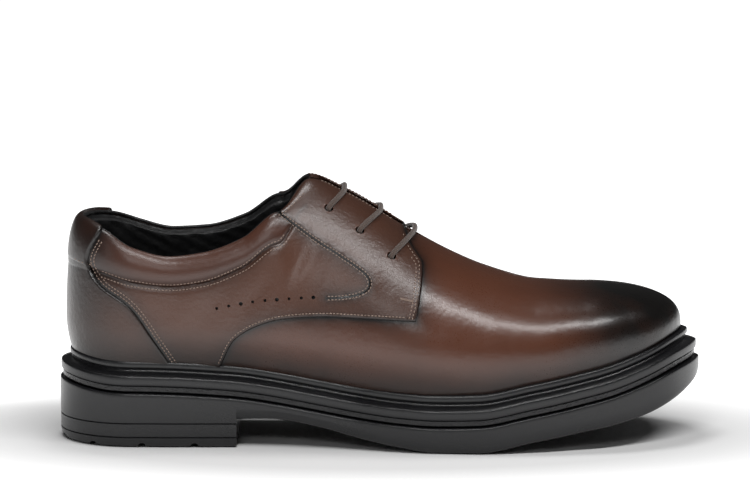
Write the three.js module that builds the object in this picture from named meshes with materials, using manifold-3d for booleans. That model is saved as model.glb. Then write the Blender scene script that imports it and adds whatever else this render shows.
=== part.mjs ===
// Derby dress shoe for the right foot: one hollow leather upper with raised quarters, counter,
// padded collar and back strap, on a moulded rubber sole with heel, midsole and welt lip.
// Millimetres. +X points to the toe, -Y is the outer (lateral) side, +Z is up, the floor is Z = 0.
import * as THREE from 'three';
import { mergeVertices } from 'three/addons/utils/BufferGeometryUtils.js';
import Module from 'manifold-3d';

const wasm = await Module();
wasm.setup();

// Driving sizes of the shoe
const soleLength = 302;
const ballWidth = 108;
const heelWidth = 71;
const collarHeight = 105.4;
const throatHeight = 122.3;
const toeHeight = 71.2;
const toeOffset = 5;

// Driving sizes of the sole
const heelSeat = 24.9;
const ballThickness = 11.8;
const toeSeatRise = 25.3;
const archRise = 13.4;
const toeSpring = 27;
const ribHeight = 4.2;
const bulgeHeight = 5;
const weltHeight = 5;
const lipSetback = 5;
const heelBreast = 0.279;
const grooveWidth = 4;
const grooveDepth = 2;
const foreGrooveLength = 65;
const insoleThickness = 3;
const insoleGap = 0.7;

// Driving sizes of the upper
const wall = 2.2;
const leather = 1.2;
const featherTuck = 9;
const bellySwell = 6;
const cuffDepth = 12.8;
const cuffBulge = 2;
const cuffPadding = 3.6;
const seamWidth = 2.6;
const seamRise = 0.7;
const throatGap = 15;
const throatFrontGap = 12;
const throatOffset = 3;
const tongueThickness = 3;
const tongueReach = 23;
const tongueEndReach = 16.5;
const eyeletDiameter = 4.2;
const laceDiameter = 2.5;
const laceLean = 10.5;
const clearance = 0.3;

// How finely the shapes are divided
const stepsPerSection = 2;
const throatSteps = 4;
const wallSteps = 7;
const outlineSteps = 3;
const tongueSteps = 8;
const tongueHalfSteps = 5;
const eyeletSides = 10;
const laceSides = 8;
const laceSteps = 14;
const searchSteps = 40;

// Sections of the shoe from the back of the heel round to the tip of the toe. A section stands on
// the line along the middle of the shoe; turned ones fan round the heel and the toe.
// at: share of the length. turn: degrees of the fan. heel: how far the heel width rules.
// sole: reach of the sole's edge. tuck: how far inside it the upper starts. swell: how far it then
// comes out, at the height belly. rim: reach of the top edge. full: roundness of the wall above.
// collar: share of the collar's height. cup: how far the collar rules the top, not the throat.
// rise: how far the ridge has risen from the toe to the throat. cuff: depth of the padded collar.
// plies: leathers that lie over the surface at the top.
const sectionColumns = ['at', 'turn', 'heel', 'soleLat', 'soleMed', 'tuckLat', 'tuckMed', 'swellLat', 'swellMed',
  'belly', 'rimLat', 'rimMed', 'full', 'collarLat', 'collarMed', 'cup', 'rise', 'cuff', 'plies'];
const sectionRows = [
  [0.119, -90, 1.00, 1.000, 1.000, 1.10, 1.10, 0.72, 0.72, 0.474, 0.69, 0.69, 1.80, 1.000, 1.000, 1, 1, 1.60, 2],
  [0.119, -60, 1.00, 0.998, 0.998, 1.09, 1.09, 0.73, 0.73, 0.474, 0.69, 0.69, 1.80, 0.992, 1.002, 1, 1, 1.56, 2],
  [0.119, -30, 1.00, 0.994, 0.994, 1.07, 1.07, 0.73, 0.70, 0.470, 0.72, 0.71, 1.80, 0.962, 0.990, 1, 1, 1.45, 2],
  [0.119, 0, 1.00, 0.994, 0.994, 1.05, 1.05, 0.80, 0.67, 0.466, 0.79, 0.76, 1.80, 0.880, 0.939, 1, 1, 1.17, 1],
  [0.175, 0, 0.95, 0.988, 0.955, 1.02, 1.02, 0.90, 0.82, 0.462, 0.82, 0.77, 1.80, 0.843, 0.900, 1, 1, 1.00, 1],
  [0.228, 0, 0.88, 0.965, 0.909, 0.98, 0.95, 1.12, 1.00, 0.458, 0.82, 0.76, 1.80, 0.862, 0.907, 1, 1, 1.00, 1],
  [0.288, 0, 0.76, 0.926, 0.851, 0.92, 0.90, 1.37, 1.23, 0.450, 0.76, 0.72, 1.80, 0.924, 0.958, 1, 1, 0.96, 1],
  [0.344, 0, 0.60, 0.921, 0.783, 0.92, 0.87, 1.42, 1.45, 0.442, 0.63, 0.61, 1.75, 1.036, 1.053, 1, 1, 1.00, 1],
  [0.391, 0, 0.46, 0.910, 0.736, 0.92, 0.85, 1.50, 1.67, 0.433, 0.20, 0.20, 1.70, 1.036, 1.053, 0, 1, 1.00, 1],
  [0.450, 0, 0.28, 0.912, 0.709, 0.93, 0.86, 1.45, 1.83, 0.409, 0.14, 0.14, 1.80, 1.036, 1.053, 0, 0.86, 1.00, 1],
  [0.517, 0, 0.10, 0.959, 0.729, 0.96, 0.90, 1.25, 1.92, 0.380, 0.09, 0.09, 1.90, 1.036, 1.053, 0, 0.63, 1.00, 1],
  [0.583, 0, 0, 1.000, 0.815, 0.98, 0.94, 1.05, 1.75, 0.356, 0, 0, 1.98, 1.036, 1.053, 0, 0.385, 1.00, 0],
  [0.666, 0, 0, 1.041, 0.911, 1.00, 0.96, 0.63, 1.22, 0.339, 0, 0, 2.12, 1.036, 1.053, 0, 0.155, 1.00, 0],
  [0.748, 0, 0, 1.012, 0.946, 1.00, 0.98, 0.52, 0.58, 0.343, 0, 0, 2.30, 1.036, 1.053, 0, 0.022, 1.00, 0],
  [0.8245, 0, 0, 0.926, 0.870, 1.00, 1.00, 0.42, 0.43, 0.368, 0, 0, 2.45, 1.036, 1.053, 0, 0, 1.00, 0],
  [0.8245, 30, 0, 0.865, 0.865, 1.02, 1.02, 0.38, 0.40, 0.384, 0, 0, 2.50, 1.036, 1.053, 0, 0, 1.00, 0],
  [0.8245, 60, 0, 0.907, 0.926, 1.03, 1.03, 0.28, 0.28, 0.405, 0, 0, 2.55, 1.036, 1.053, 0, 0, 1.00, 0],
  [0.8245, 90, 0, 1.000, 1.000, 1.09, 1.09, 0.18, 0.18, 0.419, 0, 0, 2.60, 1.036, 1.053, 0, 0, 1.00, 0],
];

// Side profile of the sole. heel, toe: shares of the seat's rise there over the ball.
// arch, spring: shares of the hollow under the waist and of the tread's rise to the toe.
const profileColumns = ['at', 'heel', 'toe', 'arch', 'spring'];
const profileRows = [
  [0.000, 1.30, 0, 0.90, 0],
  [0.090, 1.04, 0, 0.92, 0],
  [0.172, 1.00, 0, 0.94, 0],
  [0.279, 0.85, 0, 0.97, 0],
  [0.333, 0.70, 0, 1.00, 0],
  [0.404, 0.43, 0, 0.76, 0],
  [0.473, 0.18, 0, 0.37, 0],
  [0.533, 0.05, 0, 0.13, 0],
  [0.583, 0, 0, 0, 0],
  [0.649, 0, 0.02, 0, 0],
  [0.732, 0, 0.20, 0, 0.17],
  [0.798, 0, 0.35, 0, 0.30],
  [0.864, 0, 0.53, 0, 0.43],
  [0.911, 0, 0.70, 0, 0.55],
  [0.960, 0, 0.90, 0, 0.76],
  [1.000, 0, 1, 0, 1],
];

// Rings down the side of each sole piece. up: share of the piece's height from its foot.
// back: setback from the sole's edge, as a share of the lip's setback.
const weltRings = [
  { up: 0, back: 1.15 },
  { up: 0.2, back: 0.95 },
  { up: 0.85, back: 0.98 },
  { up: 1, back: 1.2 },
];
const midsoleRings = [
  { up: 0, back: 0.3 },
  { up: 0.44, back: 0.26 },
  { up: 0.5, back: 0.14 },
  { up: 0.82, back: 0.14 },
  { up: 1, back: 0.5 },
];
const outsoleRings = [
  { up: 0, back: 0.42 },
  { up: 0.06, back: 0.16 },
  { up: 0.3, back: 0 },
  { up: 0.88, back: 0 },
  { up: 1, back: 0.08 },
];

// Stretch of the tread that rests on the floor and the cross grooves, as shares of the sole's length.
// The stretch has no grooves, nor any nearer to it than the margin, a share of the pitch.
const treadRest = { from: 0.583, to: 0.645, margin: 0.45 };
const heelGrooves = [0.008, 0.057, 0.133, 0.214];
const foreGrooves = { from: 0.47, to: 0.93, pitch: 0.042 };

// Roundness of the padded collar, and how far below its seam the padding inside starts, as a
// share of its depth
const cuffRound = 0.7;
const padStart = 0.6;

// Where the padded collar fades out in front: sections before the throat's first one
const cuffFade = { from: 1.1, to: 0.45 };

const back = -soleLength / 2;
const heelPole = back + sectionRows[0][0] * soleLength;
const toePole = back + sectionRows[sectionRows.length - 1][0] * soleLength;
const lastSection = sectionRows.length - 1;
const firstStraight = sectionRows.findIndex((row) => row[1] === 0);
const lastStraight = sectionRows.findLastIndex((row) => row[1] === 0);
const throatSection = sectionRows.findIndex((row) => row[sectionColumns.indexOf('cup')] === 0);

// Smooth value of one column of a table at a place between its rows, without overshoot
function readColumn(rows, column, places, place) {
  const count = rows.length;
  const slope = (i) => (rows[i + 1][column] - rows[i][column]) / (places[i + 1] - places[i]);
  const tangent = (i) => {
    if (i === 0) return slope(0);
    if (i === count - 1) return slope(count - 2);
    const before = slope(i - 1);
    const after = slope(i);
    return before * after <= 0 ? 0 : (2 * before * after) / (before + after);
  };
  let i = 0;
  while (i < count - 2 && place > places[i + 1]) i += 1;
  const span = places[i + 1] - places[i];
  const t = THREE.MathUtils.clamp((place - places[i]) / span, 0, 1);
  const h00 = 2 * t ** 3 - 3 * t ** 2 + 1;
  const h10 = t ** 3 - 2 * t ** 2 + t;
  const h01 = 3 * t ** 2 - 2 * t ** 3;
  const h11 = t ** 3 - t ** 2;
  return h00 * rows[i][column] + h10 * span * tangent(i) + h01 * rows[i + 1][column] + h11 * span * tangent(i + 1);
}

const sectionPlaces = sectionRows.map((row, i) => i);
const straightRows = sectionRows.slice(firstStraight, lastStraight + 1);
const straightPlaces = sectionPlaces.slice(firstStraight, lastStraight + 1);
const profilePlaces = profileRows.map((row) => row[0]);

// The sections between two rows of the fan turn evenly, and only the straight ones move along
function readSection(place) {
  const values = {};
  sectionColumns.forEach((name, i) => {
    values[name] = readColumn(sectionRows, i, sectionPlaces, place);
  });
  const i = Math.min(Math.floor(place), lastSection - 1);
  const turn = sectionColumns.indexOf('turn');
  values.turn = THREE.MathUtils.lerp(sectionRows[i][turn], sectionRows[i + 1][turn], place - i);
  values.at = readColumn(straightRows, sectionColumns.indexOf('at'), straightPlaces, place);
  return values;
}

function readProfile(x) {
  const values = {};
  profileColumns.forEach((name, i) => {
    values[name] = readColumn(profileRows, i, profilePlaces, (x - back) / soleLength);
  });
  return values;
}

// Heights along the sole: tread, seat of the outsole, bed under the foot
function seatHeight(x) {
  const { heel, toe } = readProfile(x);
  return ballThickness + (heelSeat - ballThickness) * heel + toeSeatRise * toe;
}

const archHeight = (x) => archRise * readProfile(x).arch + toeSpring * readProfile(x).spring;
const treadHeight = (x) => (x < back + heelBreast * soleLength ? 0 : archHeight(x));
const bedHeight = (x) => seatHeight(x) + ribHeight + bulgeHeight;

// One section: where it stands, which way it looks and its reaches on one side (-1 lateral, 1 medial)
function sectionAt(place, side) {
  const row = readSection(place);
  const x = back + row.at * soleLength;
  const turn = THREE.MathUtils.degToRad(row.turn);
  const end = turn < 0 ? heelPole - back : soleLength / 2 - toePole;
  const half = THREE.MathUtils.lerp(ballWidth, heelWidth, row.heel) / 2;
  const reach = half * Math.cos(turn) ** 2 + end * Math.sin(turn) ** 2;
  const pick = (name) => row[name + (side < 0 ? 'Lat' : 'Med')];
  const sole = reach * pick('sole');
  const foot = sole - featherTuck * pick('tuck');
  const ridge = THREE.MathUtils.lerp(toeHeight, throatHeight, row.rise);
  const middle = toeOffset * THREE.MathUtils.clamp((x - heelPole) / (toePole - heelPole), 0, 1);
  return {
    x,
    y: middle,
    dx: Math.sin(turn),
    dy: side * Math.cos(turn),
    sole,
    foot,
    belly: foot + bellySwell * pick('swell'),
    bellyZ: row.belly * throatHeight,
    rim: reach * pick('rim'),
    top: THREE.MathUtils.lerp(ridge, collarHeight * pick('collar'), row.cup) - leather * row.plies,
    full: row.full,
    cuff: row.cuff * cuffDepth,
    open: place < throatSection,
    padded: 1 - THREE.MathUtils.smoothstep(place, throatSection - cuffFade.from, throatSection - cuffFade.to),
  };
}

// Point of the upper's surface: up is 0 at the feather edge, 1 at the belly and 2 at the top
function wallPoint(section, up) {
  const footZ = bedHeight(section.x + section.dx * section.foot) + clearance;
  if (up <= 1) {
    const rest = (1 - up) ** 2;
    const r = section.belly - (section.belly - section.foot) * rest;
    const z = footZ + (section.bellyZ - footZ) * up;
    const slope = (2 * (section.belly - section.foot) * (1 - up)) / (section.bellyZ - footZ);
    const length = Math.hypot(1, slope);
    return { r, z, nr: 1 / length, nz: -slope / length };
  }
  const angle = ((up - 1) * Math.PI) / 2;
  const power = 2 / section.full;
  const wide = section.belly - section.rim;
  const tall = section.top - section.bellyZ;
  const c = Math.max(Math.cos(angle), 0);
  const s = Math.sin(angle);
  const steepR = (wide * power * c ** (power - 1) * s) || 0;
  const steepZ = (tall * power * s ** (power - 1) * c) || 0;
  const length = Math.hypot(steepR, steepZ) || 1;
  return {
    r: section.rim + wide * c ** power,
    z: section.bellyZ + tall * s ** power,
    nr: up >= 2 ? 0 : steepZ / length,
    nz: up >= 2 ? 1 : steepR / length,
  };
}

// Share of the padded collar's height that a point has reached, from its seam (0) to the rim (1)
function cuffShare(section, z) {
  return (z - (section.top - section.cuff)) / section.cuff;
}

function cuffSwell(section, z) {
  const share = THREE.MathUtils.clamp(cuffShare(section, z), 0, 1);
  return section.padded * Math.max(Math.sin(Math.PI * share), 0) ** cuffRound;
}

function cuffPad(section, z) {
  const share = THREE.MathUtils.clamp((cuffShare(section, z) + padStart) / (1 + padStart), 0, 1);
  return section.padded * Math.sin((Math.PI * share) / 2) ** 2;
}

const place3 = (section, r, z) => [section.x + section.dx * r, section.y + section.dy * r, z];

// Outer surface moved out by an offset, and inner surface moved in by the wall and the padding
function outerPoint(section, up, offset) {
  const point = wallPoint(section, up);
  const out = offset + cuffBulge * cuffSwell(section, point.z);
  return place3(section, Math.max(point.r + out * point.nr, 0), point.z + out * point.nz);
}

function liningPoint(section, up, offset) {
  const point = wallPoint(section, up);
  const inward = wall + offset + cuffPadding * cuffPad(section, point.z);
  const rimGap = section.open ? offset * (1 - point.nr) : 0;
  return place3(section, Math.max(point.r - inward * point.nr - rimGap, 0), point.z - inward * point.nz);
}

// Solid from triangles: equal points are merged and empty triangles dropped
function solidFrom(positions) {
  const geometry = new THREE.BufferGeometry();
  geometry.setAttribute('position', new THREE.Float32BufferAttribute(positions, 3));
  return solidOf(geometry);
}

function solidOf(geometry) {
  geometry.deleteAttribute('normal');
  geometry.deleteAttribute('uv');
  const merged = mergeVertices(geometry, 1e-4);
  const index = Array.from(merged.index.array);
  const triVerts = [];
  for (let i = 0; i < index.length; i += 3) {
    const [a, b, c] = index.slice(i, i + 3);
    if (a !== b && b !== c && c !== a) triVerts.push(a, b, c);
  }
  return new wasm.Manifold(new wasm.Mesh({
    numProp: 3,
    vertProperties: new Float32Array(merged.attributes.position.array),
    triVerts: new Uint32Array(triVerts),
  }));
}

// Closed body from rows of points: every row is a closed ring with the same number of points
function ringBody(rings) {
  const positions = [];
  const push = (...points) => points.forEach((point) => positions.push(...point));
  const quad = (a, b, c, d) => {
    push(a, b, c);
    push(a, c, d);
  };
  const count = rings[0].length;
  for (let i = 0; i < rings.length - 1; i += 1) {
    for (let j = 0; j < count; j += 1) {
      const next = (j + 1) % count;
      quad(rings[i][j], rings[i][next], rings[i + 1][next], rings[i + 1][j]);
    }
  }
  const cap = (ring, turned) => {
    for (let j = 0; j < count / 2 - 1; j += 1) {
      const [a, b, c, d] = [ring[j], ring[j + 1], ring[count - 2 - j], ring[count - 1 - j]];
      if (turned) quad(d, c, b, a);
      else quad(a, b, c, d);
    }
  };
  cap(rings[0], true);
  cap(rings[rings.length - 1], false);
  return solidFrom(positions);
}

// Places of the sections that are used, and one level ring of points: from the heel along the
// medial side to the toe, and back along the lateral side
const places = [];
for (let i = 0; i < lastSection; i += 1) {
  const steps = Math.abs(i + 0.5 - throatSection) < 1 ? throatSteps : stepsPerSection;
  for (let j = 0; j < steps; j += 1) places.push(i + j / steps);
}
places.push(lastSection);

function levelRing(pointAt) {
  const medial = places.map((place) => pointAt(sectionAt(place, 1)));
  const lateral = places.map((place) => pointAt(sectionAt(place, -1)));
  return [...lateral, ...medial.reverse()];
}

// Whole last-shaped body of the upper's surface with an offset, a little longer below
function outerForm(offset) {
  const drop = weltHeight;
  const rings = [levelRing((section) => {
    const [x, y, z] = outerPoint(section, 0, offset);
    return [x, y, z - drop];
  })];
  for (let i = 0; i <= wallSteps + 2; i += 1) {
    const up = i < 2 ? i / 2 : 1 + (i - 2) / wallSteps;
    rings.push(levelRing((section) => outerPoint(section, up, offset)));
  }
  return ringBody(rings);
}

// Hollow of the upper: it runs out below, and above inside the collar
function innerForm(offset) {
  const drop = 2 * weltHeight;
  const rings = [levelRing((section) => {
    const [x, y, z] = liningPoint(section, 0, offset);
    return [x, y, z - drop];
  })];
  for (let i = 0; i <= wallSteps + 2; i += 1) {
    const up = i < 2 ? i / 2 : 1 + (i - 2) / wallSteps;
    rings.push(levelRing((section) => liningPoint(section, up, offset)));
  }
  rings.push(levelRing((section) => {
    const [x, y, z] = liningPoint(section, 2, offset);
    return [x, y, section.open ? z + 2 * cuffDepth : z];
  }));
  return ringBody(rings);
}

// Prism across the shoe from an outline seen from the side, between two Y values
function sidePrism(shape, fromY, toY) {
  const geometry = new THREE.ExtrudeGeometry(shape, {
    depth: toY - fromY, bevelEnabled: false, curveSegments: outlineSteps,
  });
  geometry.rotateX(Math.PI / 2);
  geometry.translate(0, toY, 0);
  return solidOf(geometry);
}

// Prism straight up from an outline seen from above
function planPrism(shape, fromZ, toZ) {
  const geometry = new THREE.ExtrudeGeometry(shape, {
    depth: toZ - fromZ, bevelEnabled: false, curveSegments: outlineSteps,
  });
  geometry.translate(0, 0, fromZ);
  return solidOf(geometry);
}

// Seam lines seen from the side: along is a share of the sole's length, up of the throat's height
const quarterEdge = [[0.256, 0.310], [0.280, 0.419], [0.333, 0.487], [0.403, 0.509], [0.473, 0.506], [0.538, 0.500]];
const quarterFront = [[0.554, 0.500], [0.560, 0.560], [0.566, 0.690], [0.558, 0.732], [0.548, 0.765],
  [0.540, 0.805]];
const counterEdge = [[0.080, 0.850], [0.054, 0.740], [0.053, 0.678], [0.071, 0.613], [0.117, 0.531], [0.155, 0.399],
  [0.180, 0.300]];
const eyestaySeam = [[0.344, 0.895], [0.368, 0.849], [0.403, 0.789], [0.438, 0.736], [0.478, 0.668], [0.483, 0.624],
  [0.469, 0.598], [0.445, 0.585], [0.419, 0.581]];

const sidePoint = ([along, up]) => new THREE.Vector2(back + along * soleLength, up * throatHeight);

// Outline of the quarters: behind the front edge and above the edge that sweeps down to the sole
function quarterShape() {
  const shape = new THREE.Shape();
  shape.moveTo(2 * back, 0);
  shape.lineTo(back + quarterEdge[0][0] * soleLength - featherTuck, 0);
  shape.lineTo(...sidePoint(quarterEdge[0]).toArray());
  shape.splineThru(quarterEdge.slice(1).map(sidePoint));
  shape.lineTo(...sidePoint(quarterFront[0]).toArray());
  shape.splineThru(quarterFront.slice(1).map(sidePoint));
  shape.lineTo(sidePoint(quarterFront[quarterFront.length - 1]).x, 2 * throatHeight);
  shape.lineTo(2 * back, 2 * throatHeight);
  return shape;
}

// Outline of the counter and back strap: behind the edge that runs from the collar to the sole
function counterShape() {
  const shape = new THREE.Shape();
  shape.moveTo(2 * back, 0);
  shape.lineTo(2 * back, 2 * throatHeight);
  shape.lineTo(sidePoint(counterEdge[0]).x, 2 * throatHeight);
  shape.lineTo(...sidePoint(counterEdge[0]).toArray());
  shape.splineThru(counterEdge.slice(1).map(sidePoint));
  shape.lineTo(sidePoint(counterEdge[counterEdge.length - 1]).x, 0);
  return shape;
}

// Narrow outline on both sides of a seam line
function seamShape(line, width) {
  const path = new THREE.SplineCurve(line.map(sidePoint)).getPoints(outlineSteps * line.length);
  const sideways = path.map((point, i) => {
    const before = path[Math.max(i - 1, 0)];
    const after = path[Math.min(i + 1, path.length - 1)];
    const along = after.clone().sub(before).normalize();
    return new THREE.Vector2(-along.y, along.x).multiplyScalar(width / 2);
  });
  const left = path.map((point, i) => point.clone().add(sideways[i]));
  const right = path.map((point, i) => point.clone().sub(sideways[i])).reverse();
  return new THREE.Shape([...left, ...right]);
}

// Outside of the upper with its raised pieces, moved out by an offset
function layeredForm(offset, seams) {
  const wide = 2 * ballWidth;
  const quarters = outerForm(offset + leather).intersect(sidePrism(quarterShape(), -wide, wide));
  const counter = outerForm(offset + 2 * leather).intersect(sidePrism(counterShape(), -wide, wide));
  let form = outerForm(offset).add(quarters).add(counter);
  if (seams) {
    const seam = outerForm(offset + leather + seamRise);
    form = form.add(seam.intersect(sidePrism(seamShape(eyestaySeam, seamWidth), -wide, wide)));
  }
  return form;
}

// Everything below the bed of the sole, as wide as the shoe, to trim the upper's lower edge
function bedBlock() {
  const positions = [];
  const push = (...points) => points.forEach((point) => positions.push(...point));
  const half = ballWidth;
  const steps = places.length;
  const corners = Array.from({ length: steps + 1 }, (unused, i) => {
    const x = back - ballThickness + (i * (soleLength + 2 * ballThickness)) / steps;
    const z = bedHeight(x) + clearance;
    return [[x, -half, z], [x, half, z], [x, half, -half], [x, -half, -half]];
  });
  const quad = (a, b, c, d) => {
    push(a, b, c);
    push(a, c, d);
  };
  for (let i = 0; i < steps; i += 1) {
    for (let j = 0; j < 4; j += 1) {
      const next = (j + 1) % 4;
      quad(corners[i][j], corners[i + 1][j], corners[i + 1][next], corners[i][next]);
    }
  }
  quad(...corners[0]);
  quad(...[...corners[steps]].reverse());
  return solidFrom(positions);
}

// Place along the sections where a straight one stands at x
function placeOfX(x) {
  let low = firstStraight;
  let high = lastStraight;
  for (let i = 0; i < searchSteps; i += 1) {
    const middle = (low + high) / 2;
    if (sectionAt(middle, 1).x < x) low = middle;
    else high = middle;
  }
  return (low + high) / 2;
}

// Height up the wall where a section's reach equals the one asked for
function upOfReach(section, reach) {
  let low = 1;
  let high = 2;
  for (let i = 0; i < searchSteps; i += 1) {
    const middle = (low + high) / 2;
    if (wallPoint(section, middle).r > reach) low = middle;
    else high = middle;
  }
  return (low + high) / 2;
}

// Height up the wall where a section is as high as asked for
function upOfHeight(section, height) {
  let low = 1;
  let high = 2;
  for (let i = 0; i < searchSteps; i += 1) {
    const middle = (low + high) / 2;
    if (wallPoint(section, middle).z < height) low = middle;
    else high = middle;
  }
  return (low + high) / 2;
}

// Eyelets of the three lace rows: shares of the sole's length and of the throat's height
const eyeletRows = [
  { along: 0.421, rise: 0.896 },
  { along: 0.469, rise: 0.816 },
  { along: 0.5175, rise: 0.724 },
];

function eyeletFrame(row, side) {
  const section = sectionAt(placeOfX(back + row.along * soleLength), side);
  const up = upOfHeight(section, row.rise * throatHeight);
  const point = wallPoint(section, up);
  const centre = new THREE.Vector3(...place3(section, point.r, point.z));
  const normal = new THREE.Vector3(0, section.dy * point.nr, point.nz);
  return { section, up, centre, normal };
}

function eyeletHole(row, side) {
  const { centre, normal } = eyeletFrame(row, side);
  const radius = eyeletDiameter / 2;
  const geometry = new THREE.CylinderGeometry(radius, radius, 4 * (wall + leather), eyeletSides);
  geometry.applyQuaternion(new THREE.Quaternion().setFromUnitVectors(new THREE.Vector3(0, 1, 0), normal));
  geometry.translate(centre.x, centre.y, centre.z);
  return solidOf(geometry);
}

// Slot of the throat between the two facings, round at its front end
const slotEnds = { rear: 0.33, front: 0.552 };

function throatSlot() {
  const rear = back + slotEnds.rear * soleLength;
  const radius = throatFrontGap / 2;
  const centreX = back + slotEnds.front * soleLength - radius;
  const shape = new THREE.Shape();
  shape.moveTo(rear, throatOffset - throatGap / 2);
  shape.lineTo(centreX, throatOffset - radius);
  shape.absarc(centreX, throatOffset, radius, -Math.PI / 2, Math.PI / 2, false);
  shape.lineTo(rear, throatOffset + throatGap / 2);
  return planPrism(shape, toeHeight, 2 * throatHeight);
}

function makeUpper() {
  let upper = layeredForm(0, true).subtract(innerForm(0)).subtract(throatSlot()).subtract(bedBlock());
  eyeletRows.forEach((row) => {
    [-1, 1].forEach((side) => {
      upper = upper.subtract(eyeletHole(row, side));
    });
  });
  return upper;
}

// Tongue: an arch under the facings that follows the hollow, and beyond their back edge goes on
// up the slope of the throat
const tongueFront = 0.61;
const tongueRear = 0.372;

function makeTongue() {
  const throatX = back + sectionRows[throatSection][0] * soleLength;
  const slope = (sectionAt(throatSection, 1).top - sectionAt(throatSection + 1, 1).top)
    / (sectionAt(throatSection + 1, 1).x - throatX);
  const rings = [];
  for (let i = 0; i <= tongueSteps; i += 1) {
    const x = back + THREE.MathUtils.lerp(tongueRear, tongueFront, i / tongueSteps) * soleLength;
    const beyond = Math.max(throatX - x, 0);
    const place = Math.max(placeOfX(Math.max(x, throatX)), throatSection);
    const reach = i === 0 ? tongueEndReach : tongueReach;
    const arch = (inward) => {
      const points = [];
      for (let j = -tongueHalfSteps; j <= tongueHalfSteps; j += 1) {
        const section = sectionAt(place, j < 0 ? -1 : 1);
        const from = upOfReach(section, reach);
        const up = 2 - ((2 - from) * Math.abs(j)) / tongueHalfSteps;
        const point = wallPoint(section, up);
        const r = j === 0 ? 0 : Math.max(point.r - inward * point.nr, 0);
        points.push([x, section.y + section.dy * r, point.z - inward * point.nz + beyond * slope]);
      }
      return points;
    };
    const top = arch(wall + clearance);
    const below = arch(wall + clearance + tongueThickness);
    rings.push([...top, ...below.reverse()]);
  }
  return ringBody(rings.reverse()).intersect(innerForm(clearance));
}

// Insole on the bed, inside the upper's wall
function makeInsole() {
  const level = (lift) => levelRing((section) => {
    const [x, y] = place3(section, section.foot - wall - insoleGap, 0);
    return [x, y, bedHeight(x) + clearance + lift];
  });
  return ringBody([level(0), level(insoleThickness)]);
}

// A sole piece from its rings, between two heights that follow the sole
function soleBody(rings, bottom, top) {
  return ringBody(rings.map(({ up, back: setback }) => levelRing((section) => {
    const [x, y] = place3(section, section.sole - lipSetback * setback, 0);
    return [x, y, THREE.MathUtils.lerp(bottom(x), top(x), up)];
  })));
}

function makeWelt() {
  const base = (x) => bedHeight(x) + clearance;
  const body = soleBody(weltRings, base, (x) => base(x) + weltHeight);
  const inside = layeredForm(clearance, false);
  return body.subtract(inside).subtract(inside.translate([clearance, 0, 0]));
}

function makeMidsole() {
  return soleBody(midsoleRings, (x) => seatHeight(x) + clearance, bedHeight);
}

// Cross groove in the tread
function groove(along, halfWidth) {
  const x = back + along * soleLength;
  const rise = treadHeight(x + grooveWidth) - treadHeight(x - grooveWidth);
  const geometry = new THREE.BoxGeometry(grooveWidth, 2 * halfWidth, 2 * grooveDepth);
  geometry.rotateY(-Math.atan2(rise, 2 * grooveWidth));
  geometry.translate(x, 0, treadHeight(x));
  return solidOf(geometry);
}

// Outsole with its heel: the waist is cut out in front of the heel's breast
function makeOutsole() {
  const body = soleBody(outsoleRings, archHeight, seatHeight);
  const heelTop = soleBody(outsoleRings, () => 0, seatHeight);
  const breast = new THREE.BoxGeometry(soleLength, 2 * ballWidth, 2 * ballWidth);
  breast.translate(back + heelBreast * soleLength - soleLength / 2, 0, 0);
  let outsole = body.add(heelTop.intersect(solidOf(breast)));
  heelGrooves.forEach((along) => {
    outsole = outsole.subtract(groove(along, ballWidth));
  });
  for (let along = foreGrooves.from; along < foreGrooves.to; along += foreGrooves.pitch) {
    const margin = treadRest.margin * foreGrooves.pitch;
    const resting = along > treadRest.from - margin && along < treadRest.to + margin;
    if (!resting) outsole = outsole.subtract(groove(along, foreGrooveLength / 2));
  }
  return outsole;
}

// How far up to the throat's middle the points of a lace bar lie, and how much of its height over
// the leather it has where it comes out of the eyelet
const barPlaces = [0.3, 0.6, 0.9];
const barExit = 0.75;

// Lace bar: up out of one eyelet, square over the slope of the throat, and down into the other
function makeLaceBar(row) {
  const hug = leather + clearance + laceDiameter / 2;
  const sideRun = (side) => {
    const { section, up, centre, normal } = eyeletFrame(row, side);
    const run = [centre.clone().addScaledVector(normal, -wall)];
    run.push(centre.clone().addScaledVector(normal, barExit * hug));
    barPlaces.forEach((step) => {
      const over = sectionAt(placeOfX(section.x + laceLean * step), side);
      const point = wallPoint(over, THREE.MathUtils.lerp(up, 2, step));
      run.push(new THREE.Vector3(...place3(over, point.r + hug * point.nr, point.z + hug * point.nz)));
    });
    return run;
  };
  const path = new THREE.CatmullRomCurve3([...sideRun(-1), ...sideRun(1).reverse()], false, 'centripetal');
  const circle = new THREE.Shape();
  circle.absarc(0, 0, laceDiameter / 2, 0, 2 * Math.PI, false);
  const geometry = new THREE.ExtrudeGeometry(circle, {
    steps: laceSteps, curveSegments: laceSides / 2, extrudePath: path, bevelEnabled: false,
  });
  return solidOf(geometry);
}

// Finishes
const brownLeather = { color: 0x4a3228, roughness: 0.36, metalness: 0 };
const tongueLeather = { color: 0x38261f, roughness: 0.5, metalness: 0 };
const blackRubber = { color: 0x2b2b2d, roughness: 0.48, metalness: 0 };
const innerLining = { color: 0x17161a, roughness: 0.6, metalness: 0 };
const wovenLace = { color: 0x5a4a40, roughness: 0.85, metalness: 0 };

function makeMesh(name, solid, finish) {
  const { vertProperties, triVerts } = solid.getMesh();
  const geometry = new THREE.BufferGeometry();
  geometry.setAttribute('position', new THREE.BufferAttribute(new Float32Array(vertProperties), 3));
  geometry.setIndex(new THREE.BufferAttribute(new Uint32Array(triVerts), 1));
  geometry.computeVertexNormals();
  const mesh = new THREE.Mesh(geometry, new THREE.MeshStandardMaterial(finish));
  mesh.name = name;
  return mesh;
}

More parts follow.
